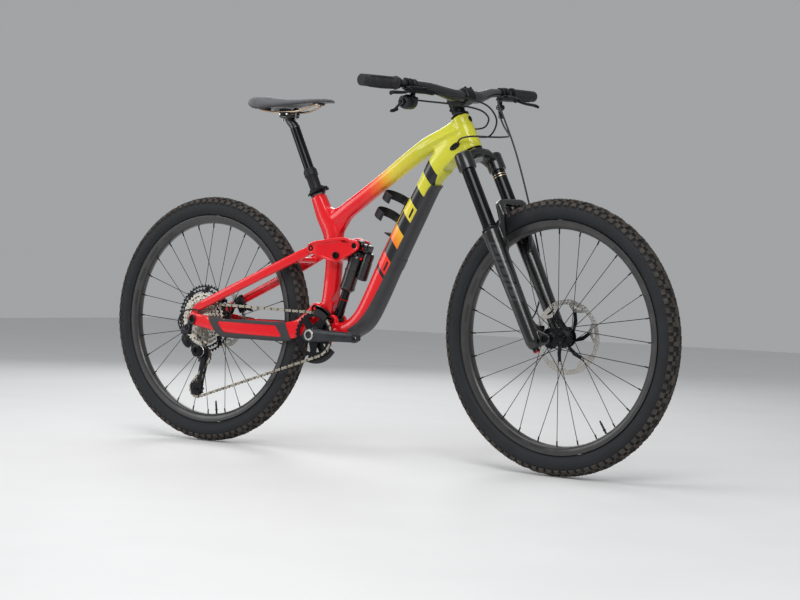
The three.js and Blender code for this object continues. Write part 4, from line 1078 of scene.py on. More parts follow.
def shock():
    body = Form()
    up = SHOCK_UP
    can = [(92.5, 17.5), (97, 20.4), (99, 22.6), (104, 22.6), (105, 21.6), (150, 21.6), (151, 23),
           (156, 23), (157, 21.2), (176, 21.2), (177, 23), (196, 23), (199, 21), (206, 18),
           (214, 16)]
    low = shock_point(0)
    body.add(spindle(low, up, can, 40))
    body.add(pin(SHOCK_TOP, -13, 13, 16, 32, 1.2))
    for t in range(182, 196, 4):
        body.add(spindle(low, up, [(t, 23), (t + 0.4, 23.6), (t + 1.6, 23.6), (t + 2, 23)], 40), 1)
    side = shock_point(0, 39)
    body.add(spindle(side, up, [(140, 12), (142, 15), (146, 15.5), (196, 15.5), (197, 14.4),
                                (200, 14.4), (201, 15.5), (214, 15.5), (220, 14), (222, 11)], 32))
    body.add(rod(shock_point(208), shock_point(208, 39), 9))
    body.add(block((-9, 9), (-7, 7), (-16, 16), 3), 0, lambda x, y, z: Vector(
        shock_point(206 + x, 20 + z)) + LEFT * y)
    body.add(rod(shock_point(206, 6, -10), shock_point(206, 6, -22), 6), 1)
    body.add(block((-11, 11), (-13, 13), (-12, 12), 4, 3), 0, lambda x, y, z: Vector(
        shock_point(232 + x, 27 + z)) + LEFT * y)
    body.add(rod(shock_point(236, 30, -12), shock_point(236, 30, -19), 6.5), 1)
    body.add(rod(shock_point(228, 20, -12), shock_point(228, 20, -17), 4), 2)
    body.add(sweep([shock_point(236, 30, -17), shock_point(244, 36, -18),
                    shock_point(252, 38, -17)], [3, 2.6, 3.4], 12, 5), 1)
    body.add(rod(shock_point(214, 39), shock_point(226, 39), 5), 1)
    body.add(rod(shock_point(200, 26, -6), shock_point(200, 26, -17), 4.5), 2)
    for i in range(6):
        body.add(spindle(side, up, [(150 + i * 7, 15.4), (150.4 + i * 7, 15.9), (152 + i * 7, 15.9),
                                    (152.4 + i * 7, 15.4)], 32), 1)
    body.make("shock_body", "shock_body", [GLOSS, GREY, RED_METAL], "black_gloss")
    shaft = Form()
    shaft.add(spindle(low, up, [(12, 12), (14, 14.2), (33, 14.2), (34, 13), (112, 12.6)], 32))
    shaft.add(pin(SHOCK_LOW, -14.5, 14.5, 14, 32, 1))
    shaft.add(spindle(low, up, [(64, 12.8), (65, 14.6), (66.6, 14.6), (67.6, 12.8)], 32), 1)
    shaft.make("shock_shaft", "shock_shaft", [STANCHION, RED_METAL], "grey_metal")


shock()

# ---------------------------------------------------------------- wheels
REAR_AT = lambda x, y, z: Vector((REAR_AXLE[0] + x, y, REAR_AXLE[1] + z))
FRONT_AT = lambda x, y, z: steered(FORK_OFFSET + x, y, z)


def knob(turn, phi, long, wide, high, ramp=0.0):
    """A tread block at an angle round the wheel and phi degrees down from the crown."""
    p = rad(phi)
    rings = []
    for grow, up, back in ((1.12, -1.5, 0), (1.0, high * 0.8, 0), (0.84, high, ramp)):
        ring = []
        for u, v in ((-1, -1), (1, -1), (1, 1), (-1, 1)):
            r_off = CASING_R + up - (back if u < 0 else 0)
            q = p + v * wide * grow / 2 / CASING_R
            y = r_off * math.sin(q)
            r = CASING_MID + r_off * math.cos(q)
            a = turn + u * long * grow / 2 / r
            ring.append((r * math.cos(a), y, r * math.sin(a)))
        rings.append(ring)
    return loft(rings)


def tyre(end, at, body, node):
    form = Form(at)
    bead = RIM_R + 0.6
    outer = [polar(CASING_R, rad(d), (CASING_MID, 0)) for d in range(-136, 137, 8)]
    inner = [polar(CASING_R - 3, rad(d), (CASING_MID, 0)) for d in range(128, -129, -16)]
    profile = [(bead, -13.6), (bead + 4, -16)] + outer + [(bead + 4, 16), (bead, 13.6)] + inner
    form.add(turned(profile, segments=128))
    for r, y in ((bead + 5, 16.6), (bead + 12, 22.6)):
        for s in (-1, 1):
            form.add(turned([(r - 0.8, s * y), (r, s * (y + 0.9)), (r + 0.8, s * y),
                             (r, s * (y - 1))], segments=96))
    rows = 92
    for i in range(rows):
        a = i * TAU / rows
        half = a + TAU / rows / 2
        flip = 1 if i % 2 else -1
        form.add(knob(a, 9.5 * flip, 14, 9, 6, 1.6), 1)
        form.add(knob(half, -9.5 * flip, 14, 9, 6, 1.6), 1)
        for s in (-1, 1):
            form.add(knob(half, s * 28, 11, 7, 5.6, 0.8), 1)
            form.add(knob(a, s * 48, 14.5, 10, 6.2, 0.6), 1)
    form.make(node, body, [SIDEWALL[end], TREAD], "tyre", 30)


def rim(end, at, body, node):
    form = Form(at)
    h = RIM_HALF
    side = [(RIM_BED_R, 0), (RIM_BED_R + 0.4, 5), (RIM_BED_R + 2, 9.5), (RIM_BED_R + 5, 13),
            (300, 15.6), (306, 16.6), (313, h), (315.2, h), (RIM_R, h - 1), (RIM_R, 14.4),
            (314.6, 13.9), (310, 13.6), (308.4, 11)]
    profile = side + [(306.8, 0)] + [(r, -y) for r, y in side[:0:-1]]
    form.add(turned(profile, segments=128))
    for i in range(SPOKES):
        a = i * TAU / SPOKES
        out = Vector((math.cos(a), 0, math.sin(a)))
        y = 2 if i % 2 == 0 else -2
        form.add(spindle(out * 278 + LEFT * y, out, [(0, 1.6), (1, 2.1), (13.4, 2.1)], 8), 1)
    a = TAU / SPOKES / 2 - TAU / 4
    out = Vector((math.cos(a), 0, math.sin(a)))
    form.add(spindle(out * 252, out, [(0, 1.8), (0.4, 2.3), (7, 2.3), (7.4, 2.9), (26, 2.9),
                                      (26.2, 4.2), (29, 4.2), (29.4, 2.9), (39, 2.9)], 12), 1)
    form.make(node, body, [RIM_SKIN[end], METAL], "carbon", 30)


def hub(at, body, node, core, flanges, flange_r, left_end, right_end, disc_y, freehub):
    form = Form(at)
    left, right = flanges
    profile = [(core, right_end), (core + 5, right_end), (core + 5, right - 9), (17, right - 4),
               (flange_r + 3, right - 1.8), (flange_r + 3, right + 1.8), (19, right + 5),
               (15, right + 11), (15, left - 10), (19, left - 5), (flange_r + 3, left - 1.8),
               (flange_r + 3, left + 1.8), (17, left + 4), (15, left + 8), (13.5, disc_y - 3),
               (core + 5, disc_y + 2), (core + 5, left_end - 1), (core + 4, left_end),
               (core, left_end)]
    if freehub:
        profile = profile[2:]
        profile.insert(0, (core, right - 6))
    form.add(turned(profile, segments=48))
    form.make(node, body, METAL, "black_metal")


def laced(at, body, node, flanges, flange_r):
    """Twenty-eight bladed spokes crossed three times, with their elbows at the flanges."""
    form = Form(at)
    for i in range(SPOKES):
        left = i % 2 == 0
        trailing = i // 2 % 2 == 1
        rim_a = i * TAU / SPOKES
        hub_a = rim_a + (1 if trailing else -1) * rad(68)
        y = flanges[0 if left else 1] + (1.4 if trailing else -1.4)
        a = Vector((flange_r * math.cos(hub_a), y, flange_r * math.sin(hub_a)))
        b = Vector((284 * math.cos(rim_a), 2 if left else -2, 284 * math.sin(rim_a)))
        d = (b - a).normalized()
        form.add(sweep([a, a + d * 40, a + d * 60, b - d * 40, b - d * 24, b],
                       [1.15, 1.1, 1.0, 1.0, 1.1, 1.15], 8, 1, 0.8, (0, 1, 0)))
        form.add(rod(a - LEFT * 2.6, a + LEFT * 2.6, 1.9, sides=8, edge=0.4))
    form.make(node, body, SPOKE, "black_metal")


def rotor(end, at, body, node, r, y, inner):
    """A brake disc: a pierced steel track whose six tabs are riveted to a black carrier."""
    track, rivet, tabs = 13, r * 0.735, 6
    loops = [[polar(r + 0.8 * math.cos(k * TAU / 12), k * TAU / 144) for k in range(144)]]
    loops.append(circle(r - track, n=96)[::-1])
    for k in range(54):
        if k % 9 > 5:
            continue
        a = k * TAU / 54
        loops.append(circle(2.5, polar(r - 4.2, a), 10))
        loops.append(circle(1.9, polar(r - 9.4, a + 0.05), 10))
    form = Form(at)
    form.add(slab(loops, y - 0.9, y + 0.9, 0.15))
    for k in range(tabs):
        a = (k * 9 + 7) * TAU / 54
        tab = wrapped([(polar(r - track - 1, a - 0.3), 5), (polar(r - track - 1, a + 0.2), 5),
                       (polar(rivet, a), 5)], 28)
        hole = wrapped([(polar(r - track - 1.6, a - 0.19), 1.6),
                        (polar(r - track - 1.6, a + 0.1), 1.6), (polar(rivet + 8, a - 0.02), 1.4)], 20)
        form.add(slab([tab, hole[::-1]], y - 0.85, y + 0.85, 0.15))
        form.add(pin(polar(rivet, a), y - 2, y + 2, 3.4, 16, 0.4), 2)
        b = a - 0.62
        form.add(slab([[polar(inner, b - 0.16), polar(rivet * 0.7, a - 0.34), polar(rivet + 3, a - 0.06),
                        polar(rivet + 3, a + 0.06), polar(rivet * 0.7, a - 0.1),
                        polar(inner, b + 0.18)]], y - 1.5, y + 1.5, 0.3), 1)
    form.add(turned([(inner - 8, y - 1.6), (inner + 4, y - 1.6), (inner + 4, y + 1.6),
                     (inner - 8, y + 1.6)], segments=48), 1)
    form.add(turned([(inner - 8, y - 4), (inner - 3, y - 4), (inner - 3, y + 3),
                     (inner - 8, y + 3)], segments=48), 1)
    form.make(node, body, [ROTOR_STEEL[end], METAL, STEEL], "steel")


SPOKE = plain("spoke_black", srgb(36, 36, 38), 0.26, 1.0, 1200, 0.2, 0.01)
REAR_FLANGES = (34, -20)
FRONT_FLANGES = (25, -36)
tyre("rear", REAR_AT, "rear_wheel", "rear_tyre")
rim("rear", REAR_AT, "rear_wheel", "rear_rim")
hub(REAR_AT, "rear_wheel", "rear_hub", 6.6, REAR_FLANGES, 27, 73.6, -26.4, 55, True)
laced(REAR_AT, "rear_wheel", "rear_spokes", REAR_FLANGES, 27)
rotor("rear", REAR_AT, "rear_wheel", "rear_rotor", 90, 55, 23)
tyre("front", FRONT_AT, "front_wheel", "front_tyre")
rim("front", FRONT_AT, "front_wheel", "front_rim")
hub(FRONT_AT, "front_wheel", "front_hub", 7.9, FRONT_FLANGES, 25, 54.6, -54.6, 42, False)
laced(FRONT_AT, "front_wheel", "front_spokes", FRONT_FLANGES, 25)
rotor("front", FRONT_AT, "front_wheel", "front_rotor", 101.5, 42, 24)

# ---------------------------------------------------------------- cassette and chain
COGS = [51, 45, 39, 33, 28, 24, 21, 18, 16, 14, 12, 10]
COG_Y = [-29, -33.4, -38, -43, -48, CHAIN_Y, -56, -58.6, -61, -63, -65, -66.8]


def cassette():
    form = Form()
    for i, (teeth, y) in enumerate(zip(COGS, COG_Y)):
        r = tooth_r(teeth)
        loops = [gear(teeth, REAR_AXLE, over=1.6 if i < 9 else 1.2)]
        inner = max(tooth_r(COGS[i + 2]) - 8 if i < 9 else 0, 12)
        if i < 5:
            arms = 8
            for k in range(arms):
                a0, a1 = rad(k * 360 / arms + 7 * i), rad(k * 360 / arms + 33 + 7 * i)
                out, low = r - 7, inner + 5
                if out - low < 4:
                    continue
                loops.append(
                    circle(out, REAR_AXLE, 8, a0, a1)
                    + circle(low, REAR_AXLE, 8, a0 + 0.18, a1 + 0.18)[::-1]
                )
        loops.append(circle(inner if inner < r - 8 else 12, REAR_AXLE, 40)[::-1])
        form.add(slab(loops, y - 0.9, y + 0.9, 0.25), 1 if i < 2 else 0)
    steps = [(12, -28.2), (30, -28.2), (30, -36), (24, -44), (20, -54), (14.5, -62), (14, -68),
             (11.6, -68.4), (11.6, -73.6), (6.6, -73.6), (6.6, -28.2)]
    form.add(turned(steps[1:], REAR_AXLE, 48), 1)
    form.make("cassette", "cassette", [COG_STEEL, COG_BLACK], "steel")


cassette()

GUIDE_PULLEY = (-418, 262)
TENSION_PULLEY = (-440, 162)


def link_line(points):
    """Walks along a polyline and gives a point at each chain pin."""
    walked, spots, want = 0.0, [], 0.0
    for a, b in zip(points, points[1:]):
        d = math.dist(a, b)
        while want <= walked + d + 1e-9:
            t = (want - walked) / d if d else 0
            spots.append((a[0] + (b[0] - a[0]) * t, a[1] + (b[1] - a[1]) * t))
            want += PITCH
        walked += d
    return spots


CAGE_RUN = 13 * PITCH  # the end of the lower run, nearest the derailleur's cage


def chain_pieces():
    """The chain link by link, cut into runs: the front wrap rides on the frame, the pulley run on the
    derailleur's cage and the rear wrap on the swingarm.
    """
    ring, cog, jockey = tooth_r(RING_TEETH), tooth_r(COG_TEETH), tooth_r(13)

    def touch(a, ra, b, rb, side):
        base = math.atan2(b[1] - a[1], b[0] - a[0])
        return base + side * math.acos((ra - rb) / math.dist(a, b))

    top = touch(REAR_AXLE, cog, BB, ring, 1)
    low = touch(TENSION_PULLEY, jockey, BB, ring, -1)
    off_cog = touch(REAR_AXLE, cog, GUIDE_PULLEY, -jockey, -1)
    off_guide = touch(GUIDE_PULLEY, jockey, TENSION_PULLEY, -jockey, 1)
    arcs = [
        circle(ring, BB, 41, top, low),
        circle(jockey, TENSION_PULLEY, 41, low, off_guide - math.pi),
        circle(jockey, GUIDE_PULLEY, 41, off_guide, off_cog + math.pi),
        circle(cog, REAR_AXLE, 41, off_cog + TAU, top),
    ]
    line = [p for arc in arcs for p in arc] + [arcs[0][0]]
    spots = link_line(line)
    runs = {name: Form() for name in (
        "chain_front_wrap", "chain_lower_run", "chain_cage_run", "chain_pulley_run",
        "chain_rear_wrap", "chain_upper_run")}
    marks = []
    walked = 0.0
    for arc, after in zip(arcs, arcs[1:] + arcs[:1]):
        walked += sum(math.dist(a, b) for a, b in zip(arc, arc[1:]))
        marks.append(walked)
        walked += math.dist(arc[-1], after[0])
        marks.append(walked)
    for i, (a, b) in enumerate(zip(spots, spots[1:] + spots[:1])):
        if math.dist(a, b) > PITCH * 1.6:
            continue
        at = (i + 0.5) * PITCH
        if at < marks[0]:
            form = runs["chain_front_wrap"]
        elif at < marks[1] - CAGE_RUN:
            form = runs["chain_lower_run"]
        elif at < marks[1]:
            form = runs["chain_cage_run"]
        elif at < marks[5] - 30:
            form = runs["chain_pulley_run"]
        elif at < marks[6]:
            form = runs["chain_rear_wrap"]
        else:
            form = runs["chain_upper_run"]
        u = Vector((b[0] - a[0], b[1] - a[1])).normalized()
        n = Vector((-u.y, u.x))
        mid = ((a[0] + b[0]) / 2, (a[1] + b[1]) / 2)
        outline = []
        for end, side in ((b, 1), (a, -1)):
            for k in range(5):
                t = rad(-90 + 45 * k)
                q = (u * math.cos(t) + n * math.sin(t)) * side * 4.3
                outline.append((end[0] + q.x, end[1] + q.y))
            waist = n * 2.3 * side
            outline.append((mid[0] + waist.x, mid[1] + waist.y))
        wide = i % 2 == 0
        for s in (-1, 1):
            y = CHAIN_Y + s * (2.75 if wide else 1.9)
            rings = [[(px, y + t, pz) for px, pz in outline] for t in (-0.45, 0.45)]
            form.add(loft(rings), 0 if wide else 1)
        form.add(pin(a, CHAIN_Y - 3.35, CHAIN_Y + 3.35, 1.7, 8, 0.2), 1)
        form.add(pin(a, CHAIN_Y - 1.4, CHAIN_Y + 1.4, 3.5, 10, 0.1), 1)
    made = {}
    bodies = {"chain_front_wrap": "frame", "chain_pulley_run": "derailleur_cage",
              "chain_rear_wrap": "swingarm"}
    for name, form in runs.items():
        made[name] = form.make(name, bodies.get(name), [CHAIN_STEEL, CHAIN_DARK], "chain",
                               node=False)
    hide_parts("chain")
    end_top, start_low = arcs[3][-1], arcs[0][-1]
    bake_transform(made["chain_upper_run"], "frame", "swingarm",
             metres(arcs[0][0][0], CHAIN_Y, arcs[0][0][1]), metres(end_top[0], CHAIN_Y, end_top[1]))
    share = CAGE_RUN / math.dist(start_low, arcs[1][0])
    parting = [b + (a - b) * share for a, b in zip(start_low, arcs[1][0])]
    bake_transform(made["chain_lower_run"], "frame", "swingarm",
             metres(start_low[0], CHAIN_Y, start_low[1]), metres(parting[0], CHAIN_Y, parting[1]))
    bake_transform(made["chain_cage_run"], "derailleur_knuckle", "derailleur_cage",
             metres(parting[0], CHAIN_Y, parting[1]),
             metres(arcs[1][0][0], CHAIN_Y, arcs[1][0][1]))


chain_pieces()

# ---------------------------------------------------------------- cranks


def crank_arm(name, direction, s, socket):
    """One arm, with its pedal eye, the groove along its outer face and the spindle's socket."""
    arm = [(-24, 71, 9, 5), (-12, 71, 19, 8), (12, 71, 20, 8), (60, 73, 16.5, 7.5),
           (150, 79.5, 14.5, 7), (CRANK, 79.5, 15, 7), (CRANK + 14, 79.5, 8, 5)]
    groove = [(28, 349), (140, 348), (146, 345), (140, 342), (28, 341), (22, 345)]
    form = Form().add(tube([(direction * x, BB[1], s * y, h, w) for x, y, h, w in arm], 32, 0.62))
    y0, y1, r = socket
    tools = Form().add(pin((direction * CRANK, BB[1]), -120, 120, 7, 24, 0.1))
    tools.add(slab([[(direction * x, z) for x, z in groove]], s * 79.5, s * 90, 0.1))
    tools.add(pin(BB, y0, y1, r, 32, 0.1))
    form.make(name, "crank", GREY, "grey_metal", 34, carved(tools))


def cranks():
    crank_arm("crank_arm_right", 1, -1, (-90, -76.4, 16))
    form = Form()
    form.add(turned([(10.6, -79.6), (15.2, -79.6), (15.8, -79), (15.8, -74), (10.6, -74)], BB, 48))
    form.add(turned([(11, -74), (14.6, -74), (14.6, 62), (11, 62)], BB, 40), 1)
    form.add(turned([(7, -87), (8.6, -87), (9, -86.6), (9, -84), (7, -84)], (CRANK, BB[1]), 32), 1)
    form.make("crank_spindle", "crank", [STEEL, METAL], "grey_metal", node=False)
    crank_arm("crank_arm_left", -1, 1, (50, 90, 9))


cranks()


def chainring():
    form = Form()
    loops = [gear(RING_TEETH, BB, over=2.4)]
    for k in range(5):
        a = rad(18 + k * 72)
        corners = ((49, a - 0.34, 3.4), (51, a, 3.4), (49, a + 0.34, 3.4), (33, a, 4))
        loops.append(wrapped([(polar(q, turn, BB), r) for q, turn, r in corners], 28)[::-1])
    loops.append(circle(16, BB, 40)[::-1])
    form.add(slab(loops, CHAIN_Y - 1.6, CHAIN_Y + 1.6, 0.4))
    form.add(turned([(15.8, -58), (21, -58), (22.5, -56), (24, -54.6), (24, -51.4), (21, -49),
                     (15.8, -49)], BB, 48))
    for k in range(8):
        form.add(pin(polar(19, k * TAU / 8, BB), -59.2, -57, 1.6, 12, 0.3), 1)
    form.make("chainring", "crank", [RING_BLACK, STEEL], "black_metal")
    cups = Form()
    for s in (1, -1):
        flutes = [polar(20.9 if k % 4 < 2 else 21.8, k * TAU / 64, BB) for k in range(64)]
        cups.add(slab([flutes, circle(15.8, BB, 40)[::-1]], s * 36.9, s * 44, 0.5))
    cups.make("bottom_bracket", "frame", METAL, "black_metal")


chainring()


def chain_guide():
    form = Form()
    back = wrapped([(BB, 30), ((38, 400), 10)], 40)
    window = wrapped([((17, 374), 5), ((30, 394), 3.5)], 20)
    form.add(slab([back, circle(23.4, BB, 40)[::-1], window[::-1]], -43.5, -40.5, 0.5))
    form.add(slab([wrapped([((12, 322), 12), ((34, 283), 10)], 32)], -43.5, -40.5, 0.5))
    form.add(slab([sector(66, 84, -110, -34)], -47, -40.5, 1.4))
    form.add(slab([sector(57, 86, 46, 84)], -62, -59, 1.0))
    form.add(slab([sector(77, 86, 46, 84)], -62, -47, 1.0))
    for x, z in ((38, 400), (34, 283), (22, 300)):
        form.add(bolt((x, -43.5, z), (0, -1, 0), 5, 2), 1)
    form.make("chain_guide", "frame", [SATIN, BOLT], "guard")


chain_guide()

# ---------------------------------------------------------------- derailleur
HANGER = (-449, 347)
P_KNUCKLE = (-418, 276)
LINK_TOP = (-461, 318)
LINK_LOW = (-431, 290)


def derailleur():
    form = Form()
    form.add(slab([wrapped([(REAR_AXLE, 12), (HANGER, 11)], 32), circle(9.4, REAR_AXLE, 32)[::-1]],
                  -91, -87.2, 0.8))
    form.add(pin(HANGER, -100, -87, 11, 32, 1.5))
    form.add(side_bolt(HANGER, -100, 7, 1.2), 1)
    form.add(block((-473, -441), (-100.5, -82), (326, 346), 4, 3))
    form.add(pin(LINK_TOP, -103, -80, 5.5, 20, 1))
    form.add(rod((-470, -91, 338), (-484, -91, 344), 3.4, 3), 1)
    form.add(sweep([(-414, -79, 398), (-440, -84, 402), (-468, -88, 396), (-486, -90, 378),
                    (-490, -91, 360), (-483, -91, 344)], 2.5, 12, 8), 2)
    form.make("derailleur_base", "swingarm", [GREY, BOLT, HOSE], "grey_metal")
    d = Vector((LINK_LOW[0] - LINK_TOP[0], 0, LINK_LOW[1] - LINK_TOP[1])).normalized()
    top = Vector((LINK_TOP[0], 0, LINK_TOP[1]))
    low = Vector((LINK_LOW[0], 0, LINK_LOW[1]))
    form = Form()
    form.add(sweep([top - d * 1 - LEFT * 98, top + d * 14 - LEFT * 101, low - d * 12 - LEFT * 101,
                    low - d * 2 - LEFT * 98], [11, 14, 13, 9], 24, 6, 0.4, (0, 1, 0)))
    form.make("derailleur_outer_link", "outer_link", METAL, "grey_metal")
    form = Form()
    form.add(sweep([top - LEFT * 85, low - d * 3 - LEFT * 85], [5, 5], 16, 4, 0.7, (0, 1, 0)))
    form.make("derailleur_inner_link", "inner_link", GREY, "grey_metal")
    form = Form()
    form.add(spindle((P_KNUCKLE[0], -68, P_KNUCKLE[1]), (0, -1, 0), [
        (0, 15), (1, 17), (14, 17), (15, 15.6), (17, 15.6), (18, 16.6), (22, 16.4), (24, 12),
        (24.4, 9)], 44))
    form.add(side_bolt(P_KNUCKLE, -92.4, 6, 0.8), 1)
    form.add(block((-428, -416), (-102, -81), (274, 288), 3, 3))
    form.add(spindle((P_KNUCKLE[0], -72, P_KNUCKLE[1]), (0, -1, 0), [(0, 17), (0.6, 17.6), (2, 17.6),
                                                                     (2.6, 17)], 40), 2)
    form.make("derailleur_p_knuckle", "derailleur_knuckle", [METAL, BOLT, STEEL], "black_metal")
    form = Form()
    outline = wrapped([(GUIDE_PULLEY, 16), (TENSION_PULLEY, 14)], 40)
    down = Vector((TENSION_PULLEY[0] - GUIDE_PULLEY[0], TENSION_PULLEY[1] - GUIDE_PULLEY[1]))
    at = lambda t, out=0: (GUIDE_PULLEY[0] + down.x * t - down.y * out / down.length,
                           GUIDE_PULLEY[1] + down.y * t + down.x * out / down.length)
    cuts = [wrapped([(at(0.25), 7), (at(0.44), 6)], 20), wrapped([(at(0.58), 6), (at(0.74), 6)], 20)]
    form.add(slab([outline] + [c[::-1] for c in cuts], -46.4, -44.6, 0.4), 1)
    form.add(slab([wrapped([(at(0), 13), (at(0.1, 8), 7)], 30)], -61.6, -59.6, 0.4))
    form.add(slab([wrapped([(at(0.06, 8), 7), (at(0.86, 12), 6)], 30)], -61.7, -59.5, 0.4))
    foot = wrapped([(at(0.93, -17), 6), (at(0.88, 15), 7), (at(1.1, 12), 6), (at(1.14, -8), 6)], 36)
    holes = [circle(4, at(1.0, 12), 16), circle(3.4, at(1.0, -13), 16)]
    form.add(slab([foot] + [c[::-1] for c in holes], -61.8, -59.4, 0.4))
    for spot in (GUIDE_PULLEY, TENSION_PULLEY):
        form.add(pin(spot, -62.4, -44.4, 3))
        form.add(side_bolt(spot, -61.5, 5, 1.6), 2)
    form.add(pin(P_KNUCKLE, -67.6, -61, 10, 32))
    form.make("derailleur_cage", "derailleur_cage", [METAL, GREY, BOLT], "grey_metal")
    for name, spot in (("guide_pulley", GUIDE_PULLEY), ("tension_pulley", TENSION_PULLEY)):
        form = Form()
        loops = [gear(13, spot, 3.6, 0.25, 0.6, 1.2)]
        for k in range(6):
            loops.append(circle(3.2, polar(13, k * TAU / 6, spot), 14))
        loops.append(circle(6, spot, 24))
        form.add(slab(loops, CHAIN_Y - 1.2, CHAIN_Y + 1.2, 0.3))
        form.add(turned([(3.3, -55.4), (6.4, -55.4), (6.4, -50.6), (3.3, -50.6)], spot, 28), 1)
        form.make(name, name, [PULLEY, STEEL], "pulley")


PULLEY = plain("pulley_black", srgb(30, 30, 32), 0.5, 0.0, 900, 0.2, 0.05)
derailleur()

# ---------------------------------------------------------------- brakes


def caliper(centre_at, r, angle, y, name, body):
    """A two-piston caliper astride the rotor, with its pad fins, bolts and hose banjo."""
    out = Vector((math.cos(angle), 0, math.sin(angle)))
    along = Vector((-math.sin(angle), 0, math.cos(angle)))

    def place(u, w, v):
        p = out * (r + v) - along * u
        return centre_at(p.x, y + w, p.z)

    form = Form(place)
    for s in (-1, 1):
        form.add(block((-24, 24), (2.6, 8.5) if s > 0 else (-8.5, -2.6), (-13, 15), 2.6, 3))
        form.add(spindle((-10, s * 8, -1), (0, s, 0), [(0, 8.4), (0.8, 8.4), (1.6, 7)], 28), 1)
        form.add(spindle((10, s * 8, -1), (0, s, 0), [(0, 8.4), (0.8, 8.4), (1.6, 7)], 28), 1)
    form.add(block((-26, 26), (-7, 7), (8.6, 15), 2.2, 3))
    for k in range(5):
        form.add(block((-13 + k * 6, -10.4 + k * 6), (-2.2, 2.2), (9, 19), 0.5), 2)
    form.add(rod((20, 0, 12), (30, 0, 22), 5))
    form.add(spindle((30, 0, 21), (0.7, 0, 0.7), [(0, 4), (1, 4.6), (6, 4.6), (7, 3.4), (12, 3)], 20))
    for u in (-22, 22):
        form.add(bolt((u, 0, 14.6), UP, 4.2, 3), 3)
    form.make(name, body, [METAL, GREY, STEEL, BOLT], "black_metal")


caliper(REAR_AT, 84, rad(33), 55, "rear_brake_caliper", "seatstay")
caliper(FRONT_AT, 93, rad(152), 42, "front_brake_caliper", "fork_lowers")

# ---------------------------------------------------------------- fork


def at_leg(s, z):
    return (LEG[0], s * LEG[1], z)


def fork_upper():
    form = Form(steered)
    for s in (1, -1):
        form.add(spindle(at_leg(s, 250), UP, [(0, 18), (1, 19), (284, 19)], 40), 1)
        form.add(spindle(at_leg(s, 516), UP, [
            (0, 22), (1.6, 24.6), (6, 25), (44, 25), (48, 24), (51, 21)], 40))
    rings = []
    for y, x0, x1, z0, z1 in ((-72, -10, 24, 526, 562), (-54, -16, 27, 533, 567),
                              (-44, -18, 28, 546, 573), (-32, -22, 30, 554, 578),
                              (0, -26, 31, 557, 580), (32, -22, 30, 554, 578),
                              (44, -18, 28, 546, 573), (54, -16, 27, 533, 567),
                              (72, -10, 24, 526, 562)):
        mid_x, mid_z, hx, hz = (x0 + x1) / 2, (z0 + z1) / 2, (x1 - x0) / 2, (z1 - z0) / 2
        rings.append([(mid_x + hx * power(math.cos(k * TAU / 28), 0.6), y,
                       mid_z + hz * power(math.sin(k * TAU / 28), 0.6)) for k in range(28)])
    form.add(loft(rings))
    form.add(spindle((0, 0, 552), UP, [(0, 24), (3, 27), (28.6, 27), (29, 19)], 40))
    form.add(spindle((0, 0, 580), UP, [(0, 19), (60, 14.3), (168, 14.3)], 32))
    # headset cover, spacers and top cap
    form.add(spindle((0, 0, HEAD_TOP + 0.6), UP, [
        (0, 26), (3, 26.4), (6, 24), (9, 19.6), (12, 19.4), (12.2, 19), (12.4, 19.4), (17.2, 19.4)],
        40), 2)
    form.add(spindle((0, 0, 746.4), UP, [(0, 19), (3, 19), (4.6, 17), (4.8, 9)], 40), 2)
    form.add(bolt((0, 0, 750.6), UP, 5, 1), 3)
    for s, mat in ((1, 2), (-1, 2)):
        form.add(spindle(at_leg(s, 564), UP, [(0, 17), (3, 17), (4.6, 14), (5.4, 10)], 32), mat)
    # travel marks, a spare ring and the gold rings on the left leg
    for z in (497, 503.5):
        form.add(spindle(at_leg(1, z), UP, [(0, 19), (0.4, 19.5), (2, 19.5), (2.4, 19)],
                         40), 4)
    form.add(spindle(at_leg(-1, 345), UP, [(0, 19), (0.6, 20), (2, 20), (2.6, 19)], 40), 5)
    form.make("fork_upper", "steerer", [GLOSS, STANCHION, METAL, BOLT, GOLD, RUBBER], "black_gloss",
              36)


